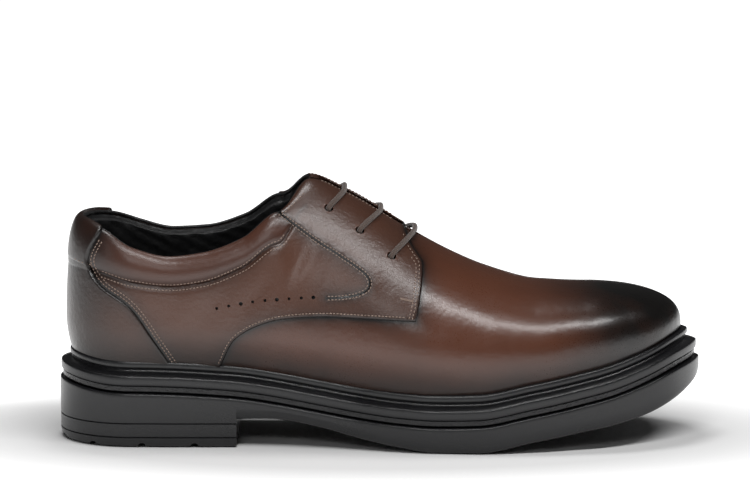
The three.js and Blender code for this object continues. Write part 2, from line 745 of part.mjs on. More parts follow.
const shoe = new THREE.Group();
shoe.name = 'dress_shoe';
shoe.add(makeMesh('upper', makeUpper(), brownLeather));
shoe.add(makeMesh('tongue', makeTongue(), tongueLeather));
shoe.add(makeMesh('insole', makeInsole(), innerLining));
shoe.add(makeMesh('welt', makeWelt(), blackRubber));
shoe.add(makeMesh('midsole', makeMidsole(), blackRubber));
shoe.add(makeMesh('outsole', makeOutsole(), blackRubber));
eyeletRows.forEach((row, i) => {
  shoe.add(makeMesh(`lace_bar_${i + 1}`, makeLaceBar(row), wovenLace));
});

// The origin is under the middle of the shoe, on the floor
const box = new THREE.Box3().setFromObject(shoe);
const centre = box.getCenter(new THREE.Vector3());
shoe.position.set(-centre.x, -centre.y, -box.min.z);
shoe.updateMatrixWorld(true);

export default shoe;
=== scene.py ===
# Derby dress shoe for the right foot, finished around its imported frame.
# Shapes are worked out in millimetres, toe to +X, outer side to -Y, and made into meshes in metres.
import math
import bpy
import numpy as np
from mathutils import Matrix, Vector
from mathutils.bvhtree import BVHTree


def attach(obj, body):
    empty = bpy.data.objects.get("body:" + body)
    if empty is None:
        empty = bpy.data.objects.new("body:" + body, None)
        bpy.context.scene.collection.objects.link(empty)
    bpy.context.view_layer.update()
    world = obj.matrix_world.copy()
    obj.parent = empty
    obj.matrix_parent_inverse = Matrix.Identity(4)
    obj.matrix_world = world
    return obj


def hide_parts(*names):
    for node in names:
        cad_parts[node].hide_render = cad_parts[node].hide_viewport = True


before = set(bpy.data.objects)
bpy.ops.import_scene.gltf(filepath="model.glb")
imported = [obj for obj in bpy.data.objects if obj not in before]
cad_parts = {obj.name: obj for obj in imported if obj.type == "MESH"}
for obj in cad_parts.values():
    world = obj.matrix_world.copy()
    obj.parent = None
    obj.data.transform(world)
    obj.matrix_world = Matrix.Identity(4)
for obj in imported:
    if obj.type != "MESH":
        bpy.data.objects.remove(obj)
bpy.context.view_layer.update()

mm = 0.001
bpy.ops.object.select_all(action="DESELECT")

# The shoe's sizes, the same as its solids have
shoe = {
    "soleLength": 302, "ballWidth": 108, "heelWidth": 71,
    "collarHeight": 105.4, "throatHeight": 122.3, "toeHeight": 71.2, "toeOffset": 5,
    "heelSeat": 24.9, "ballThickness": 11.8, "toeSeatRise": 25.3, "archRise": 13.4, "toeSpring": 27,
    "ribHeight": 4.2, "bulgeHeight": 5, "weltHeight": 5, "heelBreast": 0.279,
    "wall": 2.2, "leather": 1.2, "featherTuck": 9, "bellySwell": 6,
    "cuffDepth": 12.8, "cuffBulge": 2, "cuffPadding": 3.6,
    "throatGap": 15, "throatFrontGap": 12, "throatOffset": 3, "slotRear": 0.33, "slotFront": 0.552,
    "tongueThickness": 3, "tongueReach": 23, "eyeletDiameter": 4.2, "laceDiameter": 2.5,
    "insoleGap": 0.7, "clearance": 0.3,
}

# A row for each section, from the back of the heel round to the tip of the toe
sectionColumns = ["at", "turn", "heel", "soleLat", "soleMed", "tuckLat", "tuckMed", "swellLat", "swellMed",
                  "belly", "rimLat", "rimMed", "full", "collarLat", "collarMed", "cup", "rise", "cuff",
                  "plies"]
sectionRows = [
    [0.119, -90, 1, 1, 1, 1.1, 1.1, 0.72, 0.72, 0.474, 0.69, 0.69, 1.8, 1, 1, 1, 1, 1.6, 2],
    [0.119, -60, 1, 0.998, 0.998, 1.09, 1.09, 0.73, 0.73, 0.474, 0.69, 0.69, 1.8, 0.992, 1.002, 1, 1, 1.56, 2],
    [0.119, -30, 1, 0.994, 0.994, 1.07, 1.07, 0.73, 0.7, 0.47, 0.72, 0.71, 1.8, 0.962, 0.99, 1, 1, 1.45, 2],
    [0.119, 0, 1, 0.994, 0.994, 1.05, 1.05, 0.8, 0.67, 0.466, 0.79, 0.76, 1.8, 0.88, 0.939, 1, 1, 1.17, 1],
    [0.175, 0, 0.95, 0.988, 0.955, 1.02, 1.02, 0.9, 0.82, 0.462, 0.82, 0.77, 1.8, 0.843, 0.9, 1, 1, 1, 1],
    [0.228, 0, 0.88, 0.965, 0.909, 0.98, 0.95, 1.12, 1, 0.458, 0.82, 0.76, 1.8, 0.862, 0.907, 1, 1, 1, 1],
    [0.288, 0, 0.76, 0.926, 0.851, 0.92, 0.9, 1.37, 1.23, 0.45, 0.76, 0.72, 1.8, 0.924, 0.958, 1, 1, 0.96, 1],
    [0.344, 0, 0.6, 0.921, 0.783, 0.92, 0.87, 1.42, 1.45, 0.442, 0.63, 0.61, 1.75, 1.036, 1.053, 1, 1, 1, 1],
    [0.391, 0, 0.46, 0.91, 0.736, 0.92, 0.85, 1.5, 1.67, 0.433, 0.2, 0.2, 1.7, 1.036, 1.053, 0, 1, 1, 1],
    [0.45, 0, 0.28, 0.912, 0.709, 0.93, 0.86, 1.45, 1.83, 0.409, 0.14, 0.14, 1.8, 1.036, 1.053, 0, 0.86, 1, 1],
    [0.517, 0, 0.1, 0.959, 0.729, 0.96, 0.9, 1.25, 1.92, 0.38, 0.09, 0.09, 1.9, 1.036, 1.053, 0, 0.63, 1, 1],
    [0.583, 0, 0, 1, 0.815, 0.98, 0.94, 1.05, 1.75, 0.356, 0, 0, 1.98, 1.036, 1.053, 0, 0.385, 1, 0],
    [0.666, 0, 0, 1.041, 0.911, 1, 0.96, 0.63, 1.22, 0.339, 0, 0, 2.12, 1.036, 1.053, 0, 0.155, 1, 0],
    [0.748, 0, 0, 1.012, 0.946, 1, 0.98, 0.52, 0.58, 0.343, 0, 0, 2.3, 1.036, 1.053, 0, 0.022, 1, 0],
    [0.8245, 0, 0, 0.926, 0.87, 1, 1, 0.42, 0.43, 0.368, 0, 0, 2.45, 1.036, 1.053, 0, 0, 1, 0],
    [0.8245, 30, 0, 0.865, 0.865, 1.02, 1.02, 0.38, 0.4, 0.384, 0, 0, 2.5, 1.036, 1.053, 0, 0, 1, 0],
    [0.8245, 60, 0, 0.907, 0.926, 1.03, 1.03, 0.28, 0.28, 0.405, 0, 0, 2.55, 1.036, 1.053, 0, 0, 1, 0],
    [0.8245, 90, 0, 1, 1, 1.09, 1.09, 0.18, 0.18, 0.419, 0, 0, 2.6, 1.036, 1.053, 0, 0, 1, 0],
]

# Side profile of the sole
profileColumns = ["at", "heel", "toe", "arch", "spring"]
profileRows = [
    [0, 1.3, 0, 0.9, 0],
    [0.09, 1.04, 0, 0.92, 0],
    [0.172, 1, 0, 0.94, 0],
    [0.279, 0.85, 0, 0.97, 0],
    [0.333, 0.7, 0, 1, 0],
    [0.404, 0.43, 0, 0.76, 0],
    [0.473, 0.18, 0, 0.37, 0],
    [0.533, 0.05, 0, 0.13, 0],
    [0.583, 0, 0, 0, 0],
    [0.649, 0, 0.02, 0, 0],
    [0.732, 0, 0.2, 0, 0.17],
    [0.798, 0, 0.35, 0, 0.3],
    [0.864, 0, 0.53, 0, 0.43],
    [0.911, 0, 0.7, 0, 0.55],
    [0.96, 0, 0.9, 0, 0.76],
    [1, 0, 1, 0, 1],
]

back = -shoe["soleLength"] / 2
heelPole = back + sectionRows[0][0] * shoe["soleLength"]
toePole = back + sectionRows[-1][0] * shoe["soleLength"]
lastSection = len(sectionRows) - 1
throatSection = 8


# Smooth values of a table's column between its rows, without overshoot
def readColumn(values, places, at):
    values = np.array(values, float)
    places = np.array(places, float)
    at = np.asarray(at, float)
    span = np.diff(places)
    slope = np.diff(values) / span
    product = slope[:-1] * slope[1:]
    total = np.where(product > 0, slope[:-1] + slope[1:], 1)
    tangent = np.concatenate([slope[:1], np.where(product > 0, 2 * product / total, 0), slope[-1:]])
    i = np.clip(np.searchsorted(places, at) - 1, 0, len(span) - 1)
    t = np.clip((at - places[i]) / span[i], 0, 1)
    low = (2 * t ** 3 - 3 * t ** 2 + 1) * values[i] + (t ** 3 - 2 * t ** 2 + t) * span[i] * tangent[i]
    high = (3 * t ** 2 - 2 * t ** 3) * values[i + 1] + (t ** 3 - t ** 2) * span[i] * tangent[i + 1]
    return low + high


def readProfile(name, x):
    column = [row[profileColumns.index(name)] for row in profileRows]
    return readColumn(column, [row[0] for row in profileRows], (x - back) / shoe["soleLength"])


def seatHeight(x):
    heelPart = (shoe["heelSeat"] - shoe["ballThickness"]) * readProfile("heel", x)
    return shoe["ballThickness"] + heelPart + shoe["toeSeatRise"] * readProfile("toe", x)


def archHeight(x):
    return shoe["archRise"] * readProfile("arch", x) + shoe["toeSpring"] * readProfile("spring", x)


def bedHeight(x):
    return seatHeight(x) + shoe["ribHeight"] + shoe["bulgeHeight"]


def mix(a, b, t):
    return a + (b - a) * t


def smooth(low, high, value):
    t = np.clip((value - low) / (high - low), 0, 1)
    return t * t * (3 - 2 * t)


# A place on the shoe is signed: below 0 on the outer side, above 0 on the inner side, 0 at the
# back of the heel and lastSection at the toe's tip on both sides
def sectionAt(place):
    place = np.asarray(place, float)
    side = np.where(place < 0, -1.0, 1.0)
    rows = list(range(len(sectionRows)))
    at = {}
    for i, name in enumerate(sectionColumns):
        at[name] = readColumn([row[i] for row in sectionRows], rows, np.abs(place))
    for name in ["sole", "tuck", "swell", "rim", "collar"]:
        at[name] = np.where(side < 0, at[name + "Lat"], at[name + "Med"])
    straight = [i for i in rows if sectionRows[i][1] == 0]
    along = readColumn([sectionRows[i][0] for i in straight], straight, np.abs(place))
    x = back + along * shoe["soleLength"]
    turn = np.radians(np.interp(np.abs(place), rows, [row[1] for row in sectionRows]))
    end = np.where(turn < 0, heelPole - back, -back - toePole)
    half = mix(shoe["ballWidth"], shoe["heelWidth"], at["heel"]) / 2
    reach = half * np.cos(turn) ** 2 + end * np.sin(turn) ** 2
    sole = reach * at["sole"]
    foot = sole - shoe["featherTuck"] * at["tuck"]
    ridge = mix(shoe["toeHeight"], shoe["throatHeight"], at["rise"])
    return {
        "x": x,
        "y": shoe["toeOffset"] * np.clip((x - heelPole) / (toePole - heelPole), 0, 1),
        "dx": np.sin(turn),
        "dy": side * np.cos(turn),
        "sole": sole,
        "foot": foot,
        "belly": foot + shoe["bellySwell"] * at["swell"],
        "bellyZ": at["belly"] * shoe["throatHeight"],
        "rim": reach * at["rim"],
        "top": mix(ridge, shoe["collarHeight"] * at["collar"], at["cup"]) - shoe["leather"] * at["plies"],
        "full": at["full"],
        "cuff": at["cuff"] * shoe["cuffDepth"],
        "place": place,
        "padded": smooth(throatSection - 0.45, throatSection - 1.1, np.abs(place)),
    }


# Reach, height and outward normal of the wall: up is 0 at the feather edge, 1 at the belly, 2 on top
def wallPoint(section, up):
    up = np.asarray(up, float)
    footZ = bedHeight(section["x"] + section["dx"] * section["foot"]) + shoe["clearance"]
    swell = section["belly"] - section["foot"]
    rise = section["bellyZ"] - footZ
    below = np.minimum(up, 1)
    slope = 2 * swell * (1 - below) / rise
    length = np.hypot(1, slope)
    low = [section["belly"] - swell * (1 - below) ** 2, footZ + rise * below, 1 / length, -slope / length]
    angle = np.clip(up - 1, 1e-6, 1 - 1e-6) * math.pi / 2
    power = 2 / section["full"]
    wide = section["belly"] - section["rim"]
    tall = section["top"] - section["bellyZ"]
    c, s = np.cos(angle), np.sin(angle)
    steepR = wide * c ** (power - 1) * s
    steepZ = tall * s ** (power - 1) * c
    length = np.hypot(steepR, steepZ)
    high = [section["rim"] + wide * c ** power, section["bellyZ"] + tall * s ** power,
            steepZ / length, steepR / length]
    return [np.where(up <= 1, a, b) for a, b in zip(low, high)]


# Padded collar: how round its swell is, how far before the throat it thins out and ends, how much of
# it the back of the heel has and up to which section
cuff = {"round": 0.7, "taperFrom": 2.6, "taperTo": 0.5, "heelShare": 0.35, "heelEnd": 4}


def cuffShare(section, z):
    return (z - (section["top"] - section["cuff"])) / section["cuff"]


def cuffSwell(section, z):
    share = np.clip(cuffShare(section, z), 0, 1)
    place = np.abs(section["place"])
    tapered = smooth(throatSection - cuff["taperTo"], throatSection - cuff["taperFrom"], place)
    heel = mix(cuff["heelShare"], 1, smooth(0, cuff["heelEnd"], place))
    return section["padded"] * tapered * heel * np.sin(math.pi * share) ** cuff["round"]


def spot(section, r, z):
    return np.stack([section["x"] + section["dx"] * r, section["y"] + section["dy"] * r, z + 0 * r], -1)


# Points of the shoe's outside, moved out by an offset
def outerPoint(place, up, offset):
    section = sectionAt(place)
    r, z, nr, nz = wallPoint(section, up)
    out = offset + shoe["cuffBulge"] * cuffSwell(section, z)
    return spot(section, np.maximum(r + out * nr, 0), z + out * nz)


# Points of the lining: from the rim it rolls down inside over the padding
def innerPoint(place, up, offset):
    section = sectionAt(place)
    r, z, nr, nz = wallPoint(section, up)
    pad = smooth(-0.6, 0.9, cuffShare(section, z)) * section["padded"] * shoe["cuffPadding"]
    open_ = smooth(throatSection, throatSection - 0.3, np.abs(place))
    inward = (offset + pad) * mix(1, nr ** 1.5, open_)
    return spot(section, np.maximum(r - inward * nr, 0), z - inward * nz)


allPlaces = np.linspace(-lastSection, lastSection, 2 * lastSection * 12 + 1)
soleEdge = spot(sectionAt(allPlaces), sectionAt(allPlaces)["sole"], 0.0)
sideShift = -(soleEdge[:, 1].max() + soleEdge[:, 1].min()) / 2
print("form ready, shifted sideways by", round(sideShift, 3), "mm")


# Meshes
def toMetres(points):
    points = np.array(points, float)
    points[:, 1] += sideShift
    return points * mm


def makePiece(name, points, faces, material):
    mesh = bpy.data.meshes.new(name)
    mesh.from_pydata(toMetres(points).tolist(), [], [list(map(int, face)) for face in faces])
    mesh.update()
    piece = bpy.data.objects.new(name, mesh)
    bpy.context.collection.objects.link(piece)
    piece.data.materials.append(material)
    return piece


def addCylinder(radius, depth, vertices, location, rotation):
    bpy.ops.object.select_all(action="DESELECT")
    bpy.ops.mesh.primitive_cylinder_add(vertices=vertices, radius=radius * mm, depth=depth * mm,
                                        location=location, rotation=rotation)
    return bpy.context.active_object


def activate(piece):
    bpy.ops.object.select_all(action="DESELECT")
    piece.select_set(True)
    bpy.context.view_layer.objects.active = piece


def addValues(piece, name, values):
    layer = piece.data.attributes.new(name, "FLOAT", "POINT")
    layer.data.foreach_set("value", np.array(values, np.float32))


# One edit of all that a piece has
def editAll(piece, operator, **settings):
    activate(piece)
    bpy.ops.object.mode_set(mode="EDIT")
    bpy.ops.mesh.select_all(action="SELECT")
    operator(**settings)
    bpy.ops.object.mode_set(mode="OBJECT")


def mergePoints(piece, distance=0.01):
    editAll(piece, bpy.ops.mesh.remove_doubles, threshold=distance * mm)


def turnOut(piece):
    editAll(piece, bpy.ops.mesh.normals_make_consistent, inside=False)


def smoothPiece(piece, angle=50):
    activate(piece)
    bpy.ops.object.shade_smooth_by_angle(angle=math.radians(angle))


def thicken(piece, thickness, offset=-1):
    activate(piece)
    wall = piece.modifiers.new("thickness", "SOLIDIFY")
    wall.thickness = thickness * mm
    wall.offset = offset
    wall.use_even_offset = False
    bpy.ops.object.modifier_apply(modifier=wall.name)


def fit(piece, slot, *nodes):
    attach(piece, "root")
    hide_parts(*nodes)


# Closed rings of points, joined side to side and closed across at both ends
def ringFaces(ringCount, count):
    faces = []
    for i in range(ringCount - 1):
        for j in range(count):
            k = (j + 1) % count
            faces.append([i * count + j, i * count + k, (i + 1) * count + k, (i + 1) * count + j])
    last = (ringCount - 1) * count
    for j in range(count // 2 - 1):
        faces.append([count - 1 - j, count - 2 - j, j + 1, j])
        faces.append([last + j, last + j + 1, last + count - 2 - j, last + count - 1 - j])
    return faces

# Shader maths: a socket wrapped so that Python's signs add Math nodes
class Value:
    def __init__(self, tree, socket):
        self.tree = tree
        self.socket = socket

    def math(self, operation, *others, clamp=False):
        node = self.tree.nodes.new("ShaderNodeMath")
        node.operation = operation
        node.use_clamp = clamp
        for i, item in enumerate([self, *others]):
            if isinstance(item, Value):
                self.tree.links.new(item.socket, node.inputs[i])
            else:
                node.inputs[i].default_value = item
        return Value(self.tree, node.outputs[0])

    def __add__(self, other):
        return self.math("ADD", other)

    def __mul__(self, other):
        return self.math("MULTIPLY", other)

    __radd__ = __add__
    __rmul__ = __mul__

    def __sub__(self, other):
        return self.math("SUBTRACT", other)

    def __rsub__(self, other):
        return (self * -1.0) + other

    def __pow__(self, other):
        return self.math("POWER", other)

    def clamped(self):
        return self.math("ADD", 0.0, clamp=True)

    def between(self, low, high):
        return ((self - low) * (1 / (high - low))).clamped()


class Shader:
    def __init__(self, name):
        self.material = bpy.data.materials.new(name)
        self.material.use_nodes = True
        self.tree = self.material.node_tree
        self.surface = self.tree.nodes["Principled BSDF"]

    def node(self, kind, settings=None, **inputs):
        node = self.tree.nodes.new(kind)
        for name, value in (settings or {}).items():
            if name == "stops":
                for i, (position, colour) in enumerate(value):
                    stop = node.color_ramp.elements[i] if i < 2 else node.color_ramp.elements.new(position)
                    stop.position = position
                    stop.color = colour
            else:
                setattr(node, name, value)
        for name, value in inputs.items():
            socket = node.inputs[name.replace("_", " ")]
            if isinstance(value, Value):
                self.tree.links.new(value.socket, socket)
            else:
                socket.default_value = value
        return node

    def value(self, node, output=0):
        return Value(self.tree, node.outputs[output])

    def place(self):
        return self.value(self.node("ShaderNodeTexCoord"), "Object")

    def attribute(self, name):
        return self.value(self.node("ShaderNodeAttribute", {"attribute_name": name}), "Fac")

    def noise(self, vector, scale, detail=3.0, roughness=0.55):
        node = self.node("ShaderNodeTexNoise", Vector=vector, Scale=scale, Detail=detail,
                         Roughness=roughness)
        return self.value(node, "Factor" if "Factor" in node.outputs else 0)

    def cells(self, vector, scale, feature="F1"):
        node = self.node("ShaderNodeTexVoronoi", {"feature": feature}, Vector=vector, Scale=scale)
        return self.value(node, "Distance")

    def mixColour(self, factor, a, b):
        node = self.tree.nodes.new("ShaderNodeMix")
        node.data_type = "RGBA"
        for index, item in [(0, factor), (6, a), (7, b)]:
            if isinstance(item, Value):
                self.tree.links.new(item.socket, node.inputs[index])
            else:
                node.inputs[index].default_value = item
        return Value(self.tree, node.outputs[2])

    def bump(self, height, distance, strength=1.0, normal=None):
        inputs = {"Height": height, "Distance": distance, "Strength": strength}
        if normal is not None:
            inputs["Normal"] = normal
        return self.value(self.node("ShaderNodeBump", **inputs))

    def set(self, name, value):
        socket = self.surface.inputs[name]
        if isinstance(value, Value):
            self.tree.links.new(value.socket, socket)
        else:
            socket.default_value = value


# A screen colour, 0 to 255, as linear light
def colour(*channels):
    shares = [channel / 255 for channel in channels]
    return (*[c / 12.92 if c <= 0.04045 else ((c + 0.055) / 1.055) ** 2.4 for c in shares], 1.0)


# Burnished leather: brown, darker where the burnish value says, with grain and a soft gloss
skin = {
    "cloudScale": 26.0, "cloud": 0.5, "streakScale": 90.0, "streak": 0.16,
    "poreScale": 1500.0, "pebbleScale": 620.0, "fineScale": 1300.0, "grainDepth": 0.00012,
    "waveScale": 140.0, "waveDepth": 0.00025, "coat": 0.25, "coatRoughness": 0.28,
}


def leatherMaterial(name, light, dark, gloss, grain):
    shader = Shader(name)
    place = shader.place()
    burnish = shader.attribute("burnish")
    cloud = shader.noise(place, skin["cloudScale"], 3.0)
    streak = shader.noise(place, skin["streakScale"], 4.0)
    shade = (burnish + (cloud - 0.5) * skin["cloud"] + (streak - 0.5) * skin["streak"]).clamped()
    body = shader.mixColour(shade, colour(*light), colour(*dark))
    pores = shader.cells(place, skin["poreScale"])
    pebble = shader.cells(place, skin["pebbleScale"], "SMOOTH_F1")
    fine = shader.noise(place, skin["fineScale"], 2.0)
    shader.set("Base Color", body)
    shader.set("Roughness", (fine - 0.5) * 0.14 + (cloud - 0.5) * 0.1 + gloss)
    height = pebble * 0.6 + pores * 0.25 + fine * 0.3
    normal = shader.bump(height, skin["grainDepth"] * grain)
    wave = shader.noise(place, skin["waveScale"], 2.0)
    shader.set("Normal", shader.bump(wave, skin["waveDepth"], 1.0, normal))
    shader.set("Coat Weight", skin["coat"])
    shader.set("Coat Roughness", skin["coatRoughness"])
    shader.set("Specular IOR Level", 0.45)
    return shader.material


# Satin moulded rubber, with fine dots where the dots value says
def rubberMaterial(name, tone, gloss=0.31):
    shader = Shader(name)
    place = shader.place()
    dust = shader.noise(place, 40.0, 4.0)
    fine = shader.noise(place, 2200.0, 2.0)
    dots = shader.cells(place, 1100.0)
    body = shader.mixColour(dust.between(0.35, 0.75), colour(*tone), colour(*[c + 7 for c in tone]))
    shader.set("Base Color", body)
    shader.set("Roughness", (fine - 0.5) * 0.16 + (dust - 0.5) * 0.12 + gloss)
    rough = fine * 0.35 + shader.attribute("dots") * dots * 1.6
    shader.set("Normal", shader.bump(rough, 0.00012))
    shader.set("Specular IOR Level", 0.5)
    return shader.material


# Round woven lace: strands cross along the cord's own length and turn
def laceMaterial(name, light, dark):
    shader = Shader(name)
    weave = shader.attribute("weave")
    place = shader.place()
    fuzz = shader.noise(place, 1800.0, 3.0)
    strand = (weave * 0.8 + (fuzz - 0.5) * 0.7).clamped()
    body = shader.mixColour(strand, colour(*dark), colour(*light))
    shader.set("Base Color", body)
    shader.set("Roughness", 0.82)
    shader.set("Normal", shader.bump(fuzz, 0.0002))
    shader.set("Sheen Weight", 0.25)
    return shader.material


def threadMaterial(name, tone):
    shader = Shader(name)
    twist = shader.noise(shader.place(), 2600.0, 2.0)
    shader.set("Base Color", shader.mixColour(twist, colour(*tone), colour(*[c + 34 for c in tone])))
    shader.set("Roughness", 0.55)
    shader.set("Normal", shader.bump(twist, 0.00012))
    return shader.material


def liningMaterial(name, tone):
    shader = Shader(name)
    place = shader.place()
    wrinkle = shader.noise(place, 170.0, 5.0, 0.6)
    fold = shader.cells(place, 260.0, "SMOOTH_F1")
    fine = shader.noise(place, 1500.0, 2.0)
    shader.set("Base Color", shader.mixColour(wrinkle, colour(*tone), colour(*[c + 16 for c in tone])))
    shader.set("Roughness", (fine - 0.5) * 0.2 + 0.5)
    shader.set("Normal", shader.bump(fold * 0.7 + wrinkle, 0.0007, 0.8, shader.bump(fine, 0.0001)))
    return shader.material


finish = {
    "vampLight": (82, 47, 32), "vampDark": (9, 7, 6),
    "quarterLight": (80, 50, 37), "quarterDark": (12, 9, 8),
    "strapLight": (74, 43, 31), "strapDark": (14, 10, 9),
    "tongueLight": (62, 43, 35), "tongueDark": (24, 18, 16),
    # thread: its brown, lightened as a painted highlight for the glints along the stitches
    "rubber": (18, 18, 20), "lining": (10, 10, 11), "thread": (116, 96, 84),
    "laceLight": (100, 82, 72), "laceDark": (38, 29, 25),
}


def finishedLeather(name, gloss, grain):
    return leatherMaterial(name + "_leather", finish[name + "Light"], finish[name + "Dark"], gloss, grain)


vampLeather = finishedLeather("vamp", gloss=0.3, grain=0.3)
quarterLeather = finishedLeather("quarter", gloss=0.35, grain=1.3)
strapLeather = finishedLeather("strap", gloss=0.36, grain=0.8)
tongueLeather = finishedLeather("tongue", gloss=0.5, grain=0.8)
soleRubber = rubberMaterial("sole_rubber", finish["rubber"])
shoeLining = liningMaterial("shoe_lining", finish["lining"])
laceWeave = laceMaterial("lace_weave", finish["laceLight"], finish["laceDark"])
# The thread's tone is partly its own brown and partly a painted highlight for its glints
glintLightenedThread = threadMaterial("seam_thread_painted_glint", finish["thread"])
print("materials ready")

# Seams seen from the side: share of the sole's length, share of the throat's height
seams = {
    "quarterEdge": [(0.256, 0.31), (0.28, 0.419), (0.333, 0.487), (0.403, 0.509), (0.473, 0.506),
                    (0.538, 0.5)],
    "quarterFront": [(0.554, 0.5), (0.56, 0.56), (0.566, 0.69), (0.558, 0.732), (0.548, 0.765),
                     (0.54, 0.805)],
    "counterEdge": [(0.08, 0.85), (0.054, 0.74), (0.053, 0.678), (0.071, 0.613), (0.117, 0.531),
                    (0.155, 0.399), (0.18, 0.3)],
    "eyestaySeam": [(0.334, 0.925), (0.344, 0.895), (0.368, 0.849), (0.403, 0.789), (0.438, 0.736),
                    (0.478, 0.668), (0.483, 0.624), (0.469, 0.598), (0.445, 0.585), (0.419, 0.581)],
    "strapEdge": [(-0.05, 0.7), (0.018, 0.694), (0.053, 0.678), (0.1, 0.66)],
}


def sidePoints(line):
    return np.array([(back + along * shoe["soleLength"], up * shoe["throatHeight"]) for along, up in line])


# Round line through points
def roundLine(points, steps=12):
    points = np.array(points, float)
    ends = [2 * points[0] - points[1], *points, 2 * points[-1] - points[-2]]
    line = []
    for a, b, c, d in zip(ends[:-3], ends[1:-2], ends[2:-1], ends[3:]):
        for t in np.arange(steps) / steps:
            line.append(0.5 * (2 * b + (c - a) * t + (2 * a - 5 * b + 4 * c - d) * t ** 2
                               + (3 * b - a - 3 * c + d) * t ** 3))
    return np.array([*line, points[-1]])


def distanceTo(line, points):
    best = np.full(len(points), 1e9)
    for a, b in zip(line[:-1], line[1:]):
        along = b - a
        t = np.clip(((points - a) @ along) / (along @ along), 0, 1)
        best = np.minimum(best, np.hypot(*(points - a - t[:, None] * along).T))
    return best


def insideOf(outline, points):
    inside = np.zeros(len(points), bool)
    x, z = points.T
    for (ax, az), (bx, bz) in zip(outline, np.roll(outline, -1, 0)):
        crosses = (az > z) != (bz > z)
        inside ^= crosses & (x < (bx - ax) * (z - az) / np.where(bz == az, 1, bz - az) + ax)
    return inside


# Distance to a line, above 0 inside the outline that the line and the closing points make
def edgeDistance(line, closing, points):
    inside = insideOf(np.array([*line, *closing]), points)
    return np.where(inside, 1, -1) * distanceTo(line, points)


quarterFrontLine = roundLine(sidePoints(seams["quarterFront"]))
quarterLowLine = roundLine(sidePoints(seams["quarterEdge"]))
quarterLine = np.concatenate([
    [[quarterLowLine[0][0] - shoe["featherTuck"], 0]],
    quarterLowLine,
    quarterFrontLine,
    [[quarterFrontLine[-1][0] - 1.5, 105]],
])
counterLine = roundLine(sidePoints(seams["counterEdge"]))
counterOutline = np.concatenate([
    [[counterLine[0][0] + 3, 125]], counterLine, [[counterLine[-1][0] + 4, 20]],
])
eyestayLine = roundLine(sidePoints(seams["eyestaySeam"]))
eyestayFront = [[-24, 63], [16, 60], [70, 80], [60, 160], [-50, 160]]
strapLine = roundLine(sidePoints(seams["strapEdge"]))
far = 400

# Slot between the facings, seen from above
slotRear = back + shoe["slotRear"] * shoe["soleLength"]
slotRadius = shoe["throatFrontGap"] / 2
slotCentre = back + shoe["slotFront"] * shoe["soleLength"] - slotRadius
slotTurns = np.radians(np.linspace(-90, 90, 17))
slotFront = np.stack([slotCentre + slotRadius * np.cos(slotTurns),
                      shoe["throatOffset"] + slotRadius * np.sin(slotTurns)], 1)
slotLine = np.concatenate([
    [[slotRear, shoe["throatOffset"] - shoe["throatGap"] / 2]], slotFront,
    [[slotRear, shoe["throatOffset"] + shoe["throatGap"] / 2]],
])

# Fine net of the shoe's outside: signed place and height of every point, three corners a face
skinDetail = {"stepsPerSection": 12, "lowSteps": 12, "highSteps": 48}


def makeNet():
    columns = np.linspace(-lastSection, lastSection, 2 * lastSection * skinDetail["stepsPerSection"] + 1)
    ups = np.concatenate([np.linspace(0, 1, skinDetail["lowSteps"], endpoint=False),
                          1 + np.linspace(0, 1, skinDetail["highSteps"] + 1)])
    place, up = np.meshgrid(columns, ups, indexing="ij")
    count = len(ups)
    i, j = np.meshgrid(np.arange(len(columns) - 1), np.arange(count - 1), indexing="ij")
    a = (i * count + j).ravel()
    b = ((i + 1) * count + j).ravel()
    corners = np.concatenate([np.stack([a, b + 1, b], 1), np.stack([a, a + 1, b + 1], 1)])
    return place.ravel(), up.ravel(), corners


# Every net point's place in the side view and its distances to the seams
def readNet(place, up):
    points = outerPoint(place, up, shoe["leather"])
    section = sectionAt(place)
    z = wallPoint(section, up)[1]
    side = points[:, [0, 2]]
    strapTop = np.interp(side[:, 0], strapLine[:, 0], strapLine[:, 1])
    collar = z - (section["top"] - section["cuff"] * mix(0.8, 1, section["padded"]))
    slot = -edgeDistance(slotLine, [], points[:, [0, 1]])
    return {
        "side": side,
        "z": z,
        "quarter": edgeDistance(quarterLine, [[-far, far], [-far, 0]], side),
        "counter": edgeDistance(counterOutline, [[-far, 20], [-far, 125]], side),
        "eyestay": edgeDistance(eyestayLine, eyestayFront, side),
        "strap": np.where(side[:, 1] > strapTop, 1, -1) * distanceTo(strapLine, side),
        "collar": np.where(np.abs(place) < throatSection, collar, -50),
        "slot": np.where(up > 1.3, slot, 50),
    }


# Cuts every face of the net along a level of one of its values
def cutNet(net, name, level):
    place, up, corners = net
    value = readNet(place, up)[name] - level
    value = np.where(np.abs(value) < 0.02, 0.02, value)
    above = value > 0
    edges = np.sort(np.concatenate([corners[:, [0, 1]], corners[:, [1, 2]], corners[:, [2, 0]]]), 1)
    edges = np.unique(edges[above[edges[:, 0]] != above[edges[:, 1]]], axis=0)
    edges = edges[np.abs(value[edges]).max(1) < 12]  # a sign that turns far from the line is no seam
    t = value[edges[:, 0]] / (value[edges[:, 0]] - value[edges[:, 1]])
    newPlace = mix(place[edges[:, 0]], place[edges[:, 1]], t)
    newUp = mix(up[edges[:, 0]], up[edges[:, 1]], t)
    lookup = {(a, b): len(place) + i for i, (a, b) in enumerate(edges.tolist())}
    mixed = above[corners].any(1) & ~above[corners].all(1)
    added = []
    for a, b, c in corners[mixed].tolist():
        if above[a] == above[c]:
            a, b, c = b, c, a
        elif above[a] == above[b]:
            a, b, c = c, a, b
        ab = lookup.get((min(a, b), max(a, b)))
        ac = lookup.get((min(a, c), max(a, c)))
        if ab is None or ac is None:
            added.append([a, b, c])
        else:
            added += [[a, ab, ac], [ab, b, c], [ab, c, ac]]
    kept = corners[~mixed]
    corners = np.concatenate([kept, np.array(added).reshape(-1, 3)]).astype(int)
    return np.concatenate([place, newPlace]), np.concatenate([up, newUp]), corners


